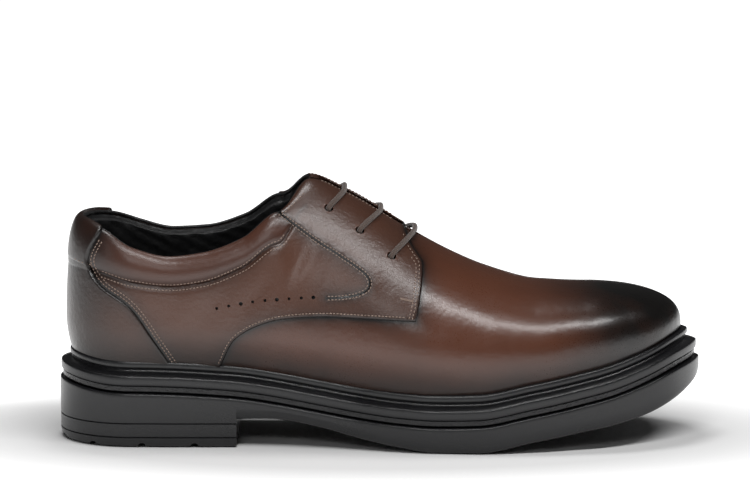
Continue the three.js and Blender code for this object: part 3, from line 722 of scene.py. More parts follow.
net = makeNet()
cuts = {"quarter": [0, 0.35, 0.9], "counter": [0, 0.35, 0.9], "eyestay": [0, 0.3, 0.8], "strap": [0, 0.5],
        "collar": [-0.6, 0, 0.6], "slot": [0, 0.35, 0.9]}
for name, levels in cuts.items():
    for level in levels:
        net = cutNet(net, name, level)
netPlace, netUp, netFaces = net
netAt = readNet(netPlace, netUp)
sideX, sideZ = netAt["side"].T
netSide = np.sign(netPlace)
print("net of the upper:", len(netPlace), "points,", len(netFaces), "faces")

# Main creases and soft hollows, in the shoe's millimetres seen from the side: middle, direction in
# degrees, half length, half width, depth (below 0 it is a ridge), side (0 for both)
creases = [
    {"x": -40, "z": 84, "turn": 62, "long": 16, "wide": 3.4, "deep": 0.38, "side": 0},
    {"x": -33, "z": 86, "turn": 62, "long": 14, "wide": 3.0, "deep": -0.28, "side": 0},
    {"x": -55, "z": 74, "turn": 50, "long": 15, "wide": 4.0, "deep": 0.34, "side": 0},
    {"x": -24, "z": 80, "turn": 70, "long": 9, "wide": 2.6, "deep": 0.26, "side": 0},
    {"x": -80, "z": 60, "turn": 72, "long": 14, "wide": 5.0, "deep": 0.36, "side": 0},
    {"x": -92, "z": 62, "turn": 75, "long": 14, "wide": 4.6, "deep": -0.26, "side": 0},
    {"x": 2, "z": 76, "turn": 78, "long": 10, "wide": 3.2, "deep": 0.2, "side": 0},
    {"x": 27, "z": 66, "turn": 84, "long": 20, "wide": 6.5, "deep": 0.22, "side": 0},
    {"x": 46, "z": 64, "turn": 60, "long": 18, "wide": 9.0, "deep": 0.15, "side": 0},
    {"x": 60, "z": 58, "turn": 55, "long": 16, "wide": 6.0, "deep": 0.24, "side": 1},
    {"x": -118, "z": 58, "turn": 100, "long": 14, "wide": 5.0, "deep": 0.25, "side": 0},
]


def creaseDepth(x, z, side):
    depth = np.zeros(len(x))
    for crease in creases:
        turn = math.radians(crease["turn"])
        along = (x - crease["x"]) * math.cos(turn) + (z - crease["z"]) * math.sin(turn)
        across = (z - crease["z"]) * math.cos(turn) - (x - crease["x"]) * math.sin(turn)
        shape = np.exp(-(along / crease["long"]) ** 2 - (across / crease["wide"]) ** 2)
        sided = 1.0 if crease["side"] == 0 else (side * crease["side"] > 0)
        depth += crease["deep"] * shape * sided
    return depth


# A leather's rise over what it lies on: it rolls up from its cut edge
def edgeRise(distance, height, roll=0.9, sink=0.3):
    t = np.clip(distance / roll, 0, 1)
    return -sink + (height + sink) * np.sqrt(1 - (1 - t) ** 2)


relief = {
    "eyestayRise": 0.75, "eyestayFade": 10, "eyestayRoll": 0.8, "strapRise": 0.2, "seamValley": 1.0,
    "valleyWidth": 1.7, "vampSeam": [(9, 62), (11.5, 50), (15, 38), (19, 24)], "vampGroove": 0.5,
    "grooveWidth": 0.7, "underFlap": 0.9,
}
leather = shoe["leather"]
softness = creaseDepth(sideX, sideZ, netSide)
eyestayDistance = netAt["eyestay"]
eyestayRoll = np.sqrt(np.clip(eyestayDistance / relief["eyestayRoll"], 0, 1))
eyestayFade = np.exp(-eyestayDistance / relief["eyestayFade"]) * eyestayRoll
eyestayLift = np.where(eyestayDistance > 0, relief["eyestayRise"] * eyestayFade, 0)
eyestayLift *= np.where(sideZ < 79, smooth(-24, -10, sideX), 1)
valleyPlace = smooth(0.5, -1.5, eyestayDistance)
valley = relief["seamValley"] * np.exp(-(netAt["collar"] / relief["valleyWidth"]) ** 2) * valleyPlace
vampSeamLine = roundLine(relief["vampSeam"])
vampSeamDistance = np.where(netSide > 0, distanceTo(vampSeamLine, netAt["side"]), 50)
vampGroove = relief["vampGroove"] * np.exp(-(vampSeamDistance / relief["grooveWidth"]) ** 2)
flapEdge = np.minimum(netAt["quarter"], netAt["slot"] + 0.2)
heights = {
    "vamp": np.where(netAt["slot"] < 1, -relief["underFlap"], 0) - softness - vampGroove,
    "quarter": edgeRise(flapEdge, leather) + eyestayLift - valley - softness,
    "collar": leather - valley - softness - 0.3 * smooth(-1, 0.5, eyestayDistance),
    "counter": leather + edgeRise(netAt["counter"], leather) - softness,
    "strap": leather + edgeRise(np.minimum(netAt["strap"], netAt["counter"]),
                                leather + relief["strapRise"]),
}


def lowest(values):
    return values[netFaces].min(1)


def highest(values):
    return values[netFaces].max(1)


# Faces on the inner side of a seam, where the net is cut along it
def within(name):
    return lowest(netAt[name]) > -0.03


flapFaces = within("quarter") & within("slot")
facingFaces = within("eyestay")
regions = {
    "vamp": (highest(netAt["quarter"]) < 7) & within("slot") & ((lowest(sideX) > 9) | (highest(sideZ) < 68)),
    "quarter": flapFaces & (highest(netAt["counter"]) < 5) & (facingFaces | (highest(netAt["collar"]) < 0.7)),
    "collar": within("collar") & (highest(netAt["counter"]) < 5) & (highest(netAt["eyestay"]) < 4),
    "counter": within("counter") & (highest(netAt["strap"]) < 3),
    "strap": within("counter") & within("strap"),
    "lining": within("slot"),
}

# How dark the leather is: burnish at the toe, heel and beside the seams, darker over the facing and darker
# towards the sole
burnish = {
    "toeFrom": 70, "toeTo": 118, "toeLean": 0.35, "toeLevel": 50, "heelFrom": -106, "heelTo": -142, "heel": 0.8,
    "soleBand": 20, "sole": 0.8, "seamBand": 4.0, "stitchBand": 1.5, "facing": 0.35,
    "quarterEdge": 0.75, "vampEdge": 0.9, "seams": {"eyestay": 0.75, "counter": 0.8, "collar": 0.6},
}


def burnishOf(name):
    toeReach = sideX + burnish["toeLean"] * (sideZ - burnish["toeLevel"])
    toe = smooth(burnish["toeFrom"], burnish["toeTo"], toeReach)
    heel = smooth(burnish["heelFrom"], burnish["heelTo"], sideX) * burnish["heel"]
    overSole = netAt["z"] - bedHeight(sideX) - shoe["weltHeight"]
    low = (1 - smooth(0, burnish["soleBand"], overSole)) * burnish["sole"]
    band = burnish["seamBand"]
    edge = burnish["quarterEdge"] if name == "quarter" else burnish["vampEdge"]
    seam = np.exp(-np.abs(netAt["quarter"]) / band) * edge
    if name != "vamp":
        for value, share in burnish["seams"].items():
            seam = np.maximum(seam, np.exp(-np.abs(netAt[value]) / band) * share)
        seam = np.maximum(seam, burnish["facing"] * smooth(-2, 8, netAt["eyestay"]))
    for value in ("quarter", "eyestay", "counter"):
        if name != "vamp" or value == "quarter":
            seam = np.maximum(seam, np.exp(-(netAt[value] / burnish["stitchBand"]) ** 2))
    total = 1 - (1 - toe) * (1 - heel) * (1 - low) * (1 - seam)
    return np.clip(total, 0, 1)


pieceLeather = {"vamp": vampLeather, "quarter": quarterLeather, "collar": strapLeather,
                "counter": quarterLeather, "strap": strapLeather}
pieceThickness = {"vamp": 1.0, "quarter": 1.9, "collar": 1.9, "counter": 1.0, "strap": 1.6, "lining": 1.2}


def netPiece(title, name, pointAt, material):
    used = netFaces[regions[name]]
    index = np.unique(used)
    renumber = np.full(len(netPlace), -1)
    renumber[index] = np.arange(len(index))
    piece = makePiece(title, pointAt(index), renumber[used], material)
    addValues(piece, "burnish", burnishOf(name)[index])
    mergePoints(piece)
    return piece


def makeLeather(name, title):
    piece = netPiece(title, name, lambda i: outerPoint(netPlace[i], netUp[i], heights[name][i]),
                     pieceLeather[name])
    thicken(piece, pieceThickness[name])
    smoothPiece(piece)
    fit(piece, "upper_leather", "upper")
    return piece


makeLeather("vamp", "vamp")
quarters = makeLeather("quarter", "quarters")
collar = makeLeather("collar", "padded_collar")
makeLeather("counter", "counter")
makeLeather("strap", "back_strap")
print("leathers ready")

# Outside of everything, to lay stitches on and to aim the small holes
skinHeight = np.where(netAt["quarter"] > 0, heights["quarter"], heights["vamp"])
collarOnly = (netAt["collar"] > 0) & (netAt["eyestay"] < 0)
skinHeight = np.where(collarOnly, heights["collar"], skinHeight)
skinHeight = np.where(netAt["counter"] > 0, heights["counter"], skinHeight)
skinHeight = np.where((netAt["counter"] > 0) & (netAt["strap"] > 0), heights["strap"], skinHeight)
skinPoints = outerPoint(netPlace, netUp, skinHeight)
skinTree = BVHTree.FromPolygons(skinPoints.tolist(), netFaces.tolist())

# Lining: black leather inside, from the rim down to the insole, softly wrinkled
liningFold = {"deep": 0.35, "seamX": -104, "seamWidth": 0.7, "seamDeep": 0.6}


def liningPointAt(index):
    place, z = netPlace[index], sideZ[index]
    wave = np.sin(place * 7 + z * 0.35) * np.sin(z * 0.55 + place * 2.3)
    inside = smooth(1.98, 1.85, netUp[index])
    open_ = smooth(throatSection, throatSection - 1, np.abs(netPlace[index]))
    fold = liningFold["deep"] * wave * inside * open_
    fromSeam = (sideX[index] - liningFold["seamX"]) / liningFold["seamWidth"]
    groove = liningFold["seamDeep"] * np.exp(-fromSeam ** 2) * inside
    return innerPoint(netPlace[index], netUp[index], shoe["wall"] + fold - groove)


lining = netPiece("lining", "lining", liningPointAt, shoeLining)
thicken(lining, pieceThickness["lining"], 1)
smoothPiece(lining, 60)
fit(lining, "lining", "upper")
print("lining ready")

# Sole: rings round the shoe at given heights and setbacks from its edge
soleDetail = {"stepsPerSection": 14}


def solePlaces(start, end):
    count = int(abs(end - start) * soleDetail["stepsPerSection"])
    return np.linspace(start, end, count, endpoint=False)


def placeOfX(x):
    straight = np.linspace(3, lastSection - 3, 600)
    return float(np.interp(x, sectionAt(straight)["x"], straight))


def soleRings(title, places, levels):
    points = []
    dots = []
    for level in levels:
        section = sectionAt(places)
        x = section["x"] + section["dx"] * section["sole"]
        r = section["sole"] - level["setback"](x)
        ring = spot(section, r, 0.0)
        ring[:, 2] = level["height"](ring[:, 0])
        points.append(ring)
        dots.append(np.full(len(places), level.get("dots", 0.0)))
    piece = makePiece(title, np.concatenate(points), ringFaces(len(levels), len(places)), soleRubber)
    addValues(piece, "dots", np.concatenate(dots))
    turnOut(piece)
    smoothPiece(piece, 35)
    return piece


breast = back + shoe["heelBreast"] * shoe["soleLength"]
breastPlace = placeOfX(breast)
frontSteps = int((lastSection - breastPlace) * soleDetail["stepsPerSection"])
wholeRing = solePlaces(-lastSection, lastSection)
frontRing = np.concatenate([
    np.linspace(-lastSection, -breastPlace, frontSteps),
    np.linspace(breastPlace, lastSection, frontSteps, endpoint=False),
])
heelRing = np.linspace(-breastPlace, breastPlace, 2 * int(breastPlace * soleDetail["stepsPerSection"]))

# Outsole: setbacks beside its height over the tread, and under the seat
outsoleEdge = {
    "low": [(0, 7), (0, 2.7), (0.18, 1.8), (0.55, 1.15), (1.1, 0.78), (2.2, 0.42), (3.6, 0.15)],
    "high": [(2.2, 0), (1.0, 0.03), (0.5, 0.14), (0.2, 0.4), (0, 1.0), (0, 7)],
    "middle": [0.25, 0.5, 0.75],
    "heelLines": [4.6, 11.1], "lineDeep": 0.45, "lineHalf": 0.34, "patch": [5.6, 10.0], "patchDots": 0.3,
}


def levelAt(height, setback, dots=0.0):
    return {"height": height, "setback": lambda x: setback + 0 * x, "dots": dots}


frontLevels = [levelAt(lambda x, d=d: archHeight(x) + d, s) for d, s in outsoleEdge["low"]]
for share in outsoleEdge["middle"]:
    frontLevels.append(levelAt(lambda x, t=share: mix(archHeight(x) + 3.6, seatHeight(x) - 2.2, t), 0.0))
frontLevels += [levelAt(lambda x, e=e: seatHeight(x) - e, s) for e, s in outsoleEdge["high"]]

heelLevels = [levelAt(lambda x, d=d: d + 0 * x, s) for d, s in outsoleEdge["low"]]
for line in outsoleEdge["heelLines"]:
    for step, deep in [(-1, 0), (-0.45, 0.7), (0, 1), (0.45, 0.7), (1, 0)]:
        z = line + step * outsoleEdge["lineHalf"]
        heelLevels.append(levelAt(lambda x, z=z: z + 0 * x, 0.06 + deep * outsoleEdge["lineDeep"]))
    if line == outsoleEdge["heelLines"][0]:
        for z in [outsoleEdge["patch"][0], sum(outsoleEdge["patch"]) / 2, outsoleEdge["patch"][1]]:
            heelLevels.append(levelAt(lambda x, z=z: z + 0 * x, 0.05, outsoleEdge["patchDots"]))
for z in [13.5, 17.0]:
    heelLevels.append(levelAt(lambda x, z=z: z + 0 * x, 0.0))
heelLevels += [levelAt(lambda x, e=e: seatHeight(x) - e, s) for e, s in outsoleEdge["high"]]

outsole = soleRings("outsole_tread", frontRing, frontLevels)
heelBlock = soleRings("heel_block", heelRing, heelLevels)


# Round bars that cut the grooves across the tread
def crossBars(places, radius, halfLength, lift):
    bars = []
    for x in places:
        z = (0.0 if x < breast else float(archHeight(x))) + lift
        bars.append(addCylinder(radius, 2 * halfLength, 20, (x * mm, 0, z * mm), (math.pi / 2, 0, 0)))
    return joinPieces(bars)


def joinPieces(parts):
    bpy.ops.object.select_all(action="DESELECT")
    for part in parts:
        part.select_set(True)
    bpy.context.view_layer.objects.active = parts[0]
    bpy.ops.object.join()
    joined = bpy.context.active_object
    bpy.ops.object.transform_apply(location=True, rotation=True, scale=True)
    return joined


def cutAway(piece, cutter):
    activate(piece)
    cut = piece.modifiers.new("cut", "BOOLEAN")
    cut.operation = "DIFFERENCE"
    cut.solver = "EXACT"
    cut.object = cutter
    bpy.ops.object.modifier_apply(modifier=cut.name)


# Places are shares of the sole's length. The flat rest under the ball stays whole.
grooves = {"heel": [0.008, 0.057, 0.133, 0.214], "radius": 1.9, "heelHalf": 60,
           "foreRadius": 2.3, "foreHalf": 32.5, "foreLift": -0.4,
           "from": 0.47, "to": 0.93, "pitch": 0.042, "rest": (0.583, 0.645), "margin": 0.45}
restMargin = grooves["margin"] * grooves["pitch"]
foreShares = [share for share in np.arange(grooves["from"], grooves["to"], grooves["pitch"])
              if not grooves["rest"][0] - restMargin < share < grooves["rest"][1] + restMargin]


def cutGrooves(piece, shares, radius, half, lift):
    bars = crossBars([back + share * shoe["soleLength"] for share in shares], radius, half, lift)
    cutAway(piece, bars)
    bpy.data.objects.remove(bars, do_unlink=True)


cutGrooves(heelBlock, grooves["heel"], grooves["radius"], grooves["heelHalf"], 0)
cutGrooves(outsole, foreShares, grooves["foreRadius"], grooves["foreHalf"], grooves["foreLift"])
for piece in (outsole, heelBlock):
    smoothPiece(piece, 35)
    fit(piece, "sole_rubber", "outsole")

# Midsole: knurled band below, bulge with crisp edges above; welt: hollow under a lip. Each ring is a
# height over the piece's foot and a setback from the sole's edge; the knurled ones lie in the band.
knurled = (0.8, 2.8)
midsoleRings = [
    (0, 8), (0, 2.7), (0.25, 2.4), (0.45, 1.75), (0.6, 1.4), (0.8, 1.3), (1.5, 1.3), (2.2, 1.3), (2.8, 1.3),
    (3, 1.45), (3.2, 1.3), (3.35, 0.95), (3.55, 0.7), (3.9, 0.55), (4.5, 0.5), (5.6, 0.48), (6.7, 0.52),
    (7.3, 0.62), (7.65, 0.85), (7.9, 1.25), (8.2, 2), (8.6, 3.1), (9, 4.4), (9.2, 5.2), (9.2, 9),
]
weltRings = [
    (0, 10), (0, 5.3), (0.4, 5.75), (0.9, 6), (1.35, 5.85), (1.7, 5.3), (1.9, 4.95), (2.2, 4.78), (3, 4.75),
    (3.8, 4.8), (4.35, 4.95), (4.7, 5.2), (4.9, 5.5), (5, 5.95), (4.98, 7.2), (4.7, 8.4), (4.1, 9.6),
]
toeStep = {"from": 95, "to": 148, "setback": 0.9}


def toeSetback(x):
    return toeStep["setback"] * smooth(toeStep["from"], toeStep["to"], x)


def ringLevels(rings, base, band=(0, 0)):
    levels = []
    for height, setback in rings:
        levels.append({
            "height": lambda x, h=height: base(x) + shoe["clearance"] + h,
            "setback": lambda x, s=setback: s + toeSetback(x),
            "dots": 1.0 if band[0] <= height <= band[1] and band[1] > 0 else 0.0,
        })
    return levels


midsole = soleRings("midsole_band", wholeRing, ringLevels(midsoleRings, seatHeight, knurled))
fit(midsole, "sole_rubber", "midsole")
welt = soleRings("welt_lip", wholeRing, ringLevels(weltRings, bedHeight))
fit(welt, "sole_rubber", "welt")
print("sole ready")

# Insole: a soft-edged sheet on the bed
insoleRings = [(0, 0.3), (0, 0), (1.6, 0), (2.4, 0.3), (2.8, 0.9), (3, 1.8)]
insolePoints = []
insoleSection = sectionAt(wholeRing)
for lift, shrink in insoleRings:
    ring = spot(insoleSection, insoleSection["foot"] - shoe["wall"] - shoe["insoleGap"] - shrink, 0.0)
    ring[:, 2] = bedHeight(ring[:, 0]) + shoe["clearance"] + lift
    insolePoints.append(ring)
insole = makePiece("insole_sheet", np.concatenate(insolePoints), ringFaces(len(insoleRings), len(wholeRing)),
                   shoeLining)
turnOut(insole)
smoothPiece(insole, 40)
fit(insole, "lining", "insole")
print("insole ready")

# Tongue: an arch under the facings that runs on up the slope of the throat, with a round end
tongue = {"front": 0.61, "rear": 0.386, "roundShare": 0.13, "endShare": 0.5, "steps": 40, "halfSteps": 14,
          "leatherShare": 0.5, "endLift": 0.8, "lean": 0.9}


# Height up a section's wall, found by halving between the belly and the top
def upWhere(section, isBelow):
    low, high = 1.0, 2.0
    for _ in range(30):
        middle = (low + high) / 2
        r, z, _, _ = wallPoint(section, middle)
        if isBelow(float(r), float(z)):
            low = middle
        else:
            high = middle
    return (low + high) / 2


def upOfReach(section, reach):
    return upWhere(section, lambda r, z: r > reach)


def upOfHeight(section, height):
    return upWhere(section, lambda r, z: z < height)


def throatSlope():
    throat, after = sectionAt(throatSection), sectionAt(throatSection + 1)
    return float((throat["top"] - after["top"]) / (after["x"] - throat["x"]))


# One row of points across the tongue, at a depth under the shoe's surface
def tongueRow(x, reach, shares, inward):
    throatX = float(sectionAt(throatSection)["x"])
    place = max(placeOfX(max(x, throatX)), throatSection)
    row = []
    for side, part in ((-1, shares[shares < 0]), (1, shares[shares >= 0])):
        section = sectionAt(side * place)
        start = upOfReach(section, reach)
        r, z, nr, nz = wallPoint(section, 2 - (2 - start) * np.abs(part))
        r = np.where(part == 0, 0, np.maximum(r - inward * nr, 0))
        beyond = max(throatX - x, 0)
        lift = beyond * throatSlope() + tongue["endLift"] * smooth(0, 6, beyond)
        y = section["y"] + section["dy"] * r
        row.append(np.stack([x + 0 * r, y, z - inward * nz + lift], 1))
    points = np.concatenate(row)
    points[:, 0] -= tongue["lean"] * (points[:, 2].max() - points[:, 2]) * smooth(18, 0, x - throatX)
    return points


def tongueSheet(title, depthFrom, depthTo, material, shrink):
    points = []
    shares = np.linspace(-1, 1, 2 * tongue["halfSteps"] + 1)
    for i in range(tongue["steps"] + 1):
        t = i / tongue["steps"]
        x = back + mix(tongue["rear"], tongue["front"], t) * shoe["soleLength"] + (shrink if i == 0 else 0)
        rest = 1 - min(t / tongue["roundShare"], 1)
        wide = tongue["endShare"] + (1 - tongue["endShare"]) * math.sqrt(1 - rest ** 2)
        reach = (shoe["tongueReach"] - shrink) * wide
        top = tongueRow(x, reach, shares, depthFrom)
        low = tongueRow(x, reach, shares, depthTo)
        points.append(np.concatenate([top, low[::-1]]))
    rings = np.array(points)
    count = rings.shape[1]
    piece = makePiece(title, rings.reshape(-1, 3), ringFaces(len(rings), count), material)
    addValues(piece, "burnish", np.full(len(piece.data.vertices), 0.45))
    mergePoints(piece)
    turnOut(piece)
    activate(piece)
    edge = piece.modifiers.new("edge", "BEVEL")
    edge.width = 0.35 * mm
    edge.segments = 2
    edge.limit_method = "ANGLE"
    edge.angle_limit = math.radians(50)
    bpy.ops.object.modifier_apply(modifier=edge.name)
    smoothPiece(piece, 50)
    return piece


tongueTop = shoe["wall"] + shoe["clearance"]
tongueMiddle = tongueTop + shoe["tongueThickness"] * tongue["leatherShare"]
tongueLeatherPiece = tongueSheet("tongue_leather", tongueTop, tongueMiddle, tongueLeather, 0.0)
tongueLow = tongueTop + shoe["tongueThickness"]
tongueBack = tongueSheet("tongue_lining", tongueMiddle, tongueLow, shoeLining, 0.5)
fit(tongueLeatherPiece, "upper_leather", "tongue")
fit(tongueBack, "lining", "tongue")
print("tongue ready")

# Eyelets: plain punched holes, three on each facing, at shares of the sole's length and the throat's height
eyeletRows = [(0.421, 0.896), (0.469, 0.816), (0.5175, 0.724)]
eyeletDepth = 12


def eyeletFrame(row, side):
    along, rise = row
    section = sectionAt(side * placeOfX(back + along * shoe["soleLength"]))
    up = upOfHeight(section, rise * shoe["throatHeight"])
    r, z, nr, nz = wallPoint(section, up)
    centre = Vector([float(v) for v in spot(section, r, z)])
    normal = Vector((0.0, float(section["dy"] * nr), float(nz)))
    return up, centre, normal


def punch(centre, normal, radius, depth, sides=24):
    turn = Vector((0, 0, 1)).rotation_difference(normal).to_euler()
    place = (centre + Vector((0, sideShift, 0))) * mm
    return addCylinder(radius, depth, sides, place, turn)


def skinSpot(x, z, side):
    hit, normal, _, _ = skinTree.ray_cast(Vector((x, 200 * side, z)), Vector((0, -side, 0)))
    if hit is None:
        return None, None
    return hit, normal if normal.y * side > 0 else -normal


eyeletPunches = []
for row in eyeletRows:
    for side in (-1, 1):
        _, centre, normal = eyeletFrame(row, side)
        eyeletPunches.append(punch(centre, normal, shoe["eyeletDiameter"] / 2, eyeletDepth))
eyeletCutter = joinPieces(eyeletPunches)

# Row of small holes beside the facing's seam: every third one is larger
holes = {"small": 0.72, "large": 0.92, "depth": 5, "line": [
    (-75.6, 65.4), (-70, 66.7), (-64.4, 67.8), (-58.9, 68.8), (-53.2, 69.6), (-47.7, 70.1), (-42.1, 70.6),
    (-36.4, 71), (-30.8, 71.3)]}
smallPunches = []
for side in (-1, 1):
    for i, (x, z) in enumerate(holes["line"]):
        centre, normal = skinSpot(x, z, side)
        radius = holes["large"] if i % 3 == 2 else holes["small"]
        smallPunches.append(punch(centre, normal, radius, holes["depth"], 14))
holeCutter = joinPieces(smallPunches)
cutAway(quarters, eyeletCutter)
cutAway(quarters, holeCutter)
cutAway(lining, eyeletCutter)
bpy.data.objects.remove(eyeletCutter, do_unlink=True)
bpy.data.objects.remove(holeCutter, do_unlink=True)
smoothPiece(quarters)
smoothPiece(lining, 60)
print("holes punched")


# Round tube along a path of points, with a braid that stands out and is written as the weave value
def tube(title, path, radius, sides, material, step, braid=0.0, strands=4):
    path = np.array(path, float)
    length = np.concatenate([[0], np.cumsum(np.linalg.norm(np.diff(path, axis=0), axis=1))])
    count = max(int(length[-1] / step), 8)
    at = np.linspace(0, length[-1], count + 1)
    line = np.stack([np.interp(at, length, path[:, k]) for k in range(3)], 1)
    tangent = np.gradient(line, axis=0)
    tangent /= np.linalg.norm(tangent, axis=1)[:, None]
    side = np.cross(tangent[0], [0.0, 0.0, 1.0])
    side /= np.linalg.norm(side)
    points, weave = [], []
    angle = np.linspace(0, 2 * math.pi, sides, endpoint=False)
    pitch = 2 * math.pi / (radius * 4.2)
    for i in range(count + 1):
        side = side - tangent[i] * (side @ tangent[i])
        side /= np.linalg.norm(side)
        other = np.cross(tangent[i], side)
        pattern = np.sin(strands * angle + pitch * at[i]) * np.sin(strands * angle - pitch * at[i])
        r = radius * (1 + braid * (np.abs(pattern) - 0.6))
        points.append(line[i] + (np.cos(angle) * r)[:, None] * side + (np.sin(angle) * r)[:, None] * other)
        weave.append(np.abs(pattern))
    faces = []
    for i in range(count):
        for j in range(sides):
            k = (j + 1) % sides
            faces.append([i * sides + j, i * sides + k, (i + 1) * sides + k, (i + 1) * sides + j])
    faces.append(list(range(sides))[::-1])
    faces.append([count * sides + j for j in range(sides)])
    piece = makePiece(title, np.concatenate(points), faces, material)
    addValues(piece, "weave", np.concatenate(weave))
    addValues(piece, "burnish", np.full(len(piece.data.vertices), 0.8))
    turnOut(piece)
    smoothPiece(piece, 60)
    return piece, float(length[-1])


# Piping along the collar's crest, where leather and lining meet
piping = {"radius": 0.75, "inset": 0.55, "lift": 0.5, "end": 0.04}


rimSection = sectionAt(np.linspace(-throatSection + piping["end"], throatSection - piping["end"], 220))
crest = spot(rimSection, rimSection["rim"] - piping["inset"], rimSection["top"] + piping["lift"])
collarPiping, _ = tube("collar_piping", crest, piping["radius"], 10, shoeLining, 0.9)
fit(collarPiping, "lining", "upper")

# Lace: one cord through all six eyelets, three bars over the throat; its ends stop inside, at the top ones
lace = {"rest": 1.15, "barPlaces": [0.16, 0.3, 0.45, 0.6, 0.75, 0.9], "lean": 1.3, "under": 3.8,
        "underReach": 26.5, "outerReach": 29.5, "underStops": (0.2, 0.5, 0.8), "inside": 1.4, "exit": 0.62,
        "sides": 16, "step": 0.28, "braid": 0.1, "fill": 0.98}


def barHalf(row, side):
    up, centre, normal = eyeletFrame(row, side)
    hug = shoe["leather"] + lace["rest"]
    x = back + row[0] * shoe["soleLength"]
    run = [centre - normal * lace["under"], centre - normal * lace["inside"],
           centre + normal * (hug * lace["exit"])]
    for step in lace["barPlaces"]:
        ahead = 0.0
        for _ in range(8):  # the bar leans forward as it rises
            over = sectionAt(side * placeOfX(x + ahead))
            r, z, nr, nz = wallPoint(over, mix(up, 2, step))
            ahead = lace["lean"] * max(float(z) - centre.z, 0)
        run.append(Vector([float(v) for v in spot(over, r + hug * nr, z + hug * nz)]))
    return run


def underPoint(x, side, reach):
    place = placeOfX(x)
    section = sectionAt(side * place)
    up = upOfReach(section, reach)
    r, z, nr, nz = wallPoint(section, up)
    return Vector([float(v) for v in spot(section, r - lace["under"] * nr, z - lace["under"] * nz)])


def laceBar(row, fromSide):
    return barHalf(row, fromSide) + barHalf(row, -fromSide)[::-1]


def underRun(fromRow, toRow, side, reach):
    xs = [back + mix(fromRow[0], toRow[0], t) * shoe["soleLength"] for t in lace["underStops"]]
    return [underPoint(x, side, reach) for x in xs]


lacePath = laceBar(eyeletRows[0], -1)
lacePath += underRun(eyeletRows[0], eyeletRows[1], 1, lace["underReach"])
lacePath += laceBar(eyeletRows[1], 1)
lacePath += underRun(eyeletRows[1], eyeletRows[2], -1, lace["underReach"])
lacePath += laceBar(eyeletRows[2], -1)
lacePath += underRun(eyeletRows[2], eyeletRows[0], 1, lace["outerReach"])
lacePiece, laceLength = tube("lace", roundLine([list(p) for p in lacePath], 10),
                             shoe["laceDiameter"] / 2 * lace["fill"], lace["sides"], laceWeave, lace["step"],
                             lace["braid"])
fit(lacePiece, "lace", "lace_bar_1", "lace_bar_2", "lace_bar_3")
print("lace ready,", round(laceLength), "mm long")

# Stitches: one is modelled, and its copies lie along the seams on the leather
stitch = {"pitch": 1.6, "long": 1.2, "thick": 0.56, "sink": 0.08}
stitchRows = [
    {"line": quarterLowLine, "offset": 1.8, "sides": (-1, 1)},
    {"line": quarterFrontLine, "offset": 1.8, "sides": (-1, 1)},
    {"line": quarterFrontLine[:40], "offset": 3.3, "sides": (-1, 1)},
    {"line": eyestayLine[6:], "offset": 0.85, "sides": (-1, 1)},
    {"line": eyestayLine[6:], "offset": -0.75, "sides": (-1, 1)},
    {"line": counterLine[6:], "offset": 1.3, "sides": (-1, 1)},
    {"line": counterLine[6:], "offset": 2.8, "sides": (-1, 1)},
    {"line": strapLine[14:26], "offset": 1.3, "sides": (-1, 1)},
    {"line": np.array([(-45.8, 107.8), (-41.0, 111.8), (-35.2, 117.2)]), "offset": 0, "sides": (-1, 1)},
    {"line": vampSeamLine, "offset": 1.1, "sides": (1,)},
    {"line": vampSeamLine, "offset": -1.1, "sides": (1,)},
]


def collarSeamLine():
    places = np.linspace(2.0, throatSection - 0.55, 120)
    lines = {}
    for side in (-1, 1):
        section = sectionAt(side * places)
        seamZ = section["top"] - section["cuff"] * mix(0.8, 1, section["padded"])
        line = []
        for i, place in enumerate(places):
            one = sectionAt(side * place)
            up = upOfHeight(one, float(seamZ[i]))
            r, z, _, _ = wallPoint(one, up)
            point = spot(one, r, z)
            line.append((float(point[0]), float(point[2])))
        lines[side] = np.array(line)
    return lines


for side, line in collarSeamLine().items():
    keep = line[(line[:, 0] > -131) & (line[:, 0] < -43)]
    stitchRows.append({"line": keep, "offset": -1.5, "sides": (side,)})
    stitchRows.append({"line": keep, "offset": 1.3, "sides": (side,)})


# A seam line moved sideways, to the left of its own direction where the offset is above 0
def besides(line, offset):
    along = np.gradient(line, axis=0)
    along /= np.linalg.norm(along, axis=1)[:, None]
    return line + offset * np.stack([-along[:, 1], along[:, 0]], 1)


def evenly(line, pitch):
    length = np.concatenate([[0], np.cumsum(np.linalg.norm(np.diff(line, axis=0), axis=1))])
    count = max(int(length[-1] / pitch), 2)
    at = np.linspace(0, length[-1], count + 1)
    return np.stack([np.interp(at, length, line[:, k]) for k in range(line.shape[1])], 1)


def stitchForm():
    bpy.ops.object.select_all(action="DESELECT")
    bpy.ops.mesh.primitive_uv_sphere_add(segments=6, ring_count=5, radius=1, location=(0, 0, 0),
                                         rotation=(0, math.pi / 2, 0))
    form = bpy.context.active_object
    bpy.ops.object.transform_apply(location=True, rotation=True, scale=True)
    bpy.ops.object.mode_set(mode="EDIT")
    bpy.ops.mesh.select_all(action="SELECT")
    bpy.ops.transform.resize(value=(stitch["long"] / 2, stitch["thick"] / 2, stitch["thick"] / 2))
    bpy.ops.object.mode_set(mode="OBJECT")
    corners = np.array([vertex.co[:] for vertex in form.data.vertices])
    faces = [list(face.vertices) for face in form.data.polygons]
    bpy.data.objects.remove(form, do_unlink=True)
    return corners, faces


def layStitches(title, spots):
    corners, faces = stitchForm()
    points, joined = [], []
    for place, along, normal in spots:
        along = (along - normal * along.dot(normal)).normalized()
        across = normal.cross(along)
        turn = np.array([along[:], across[:], normal[:]])
        middle = np.array((place + normal * stitch["sink"])[:])
        first = len(points) * len(corners)
        points.append(corners @ turn + middle)
        joined += [[first + k for k in face] for face in faces]
    piece = makePiece(title, np.concatenate(points), joined, glintLightenedThread)
    smoothPiece(piece, 80)
    fit(piece, "upper_leather", "upper")
    return piece


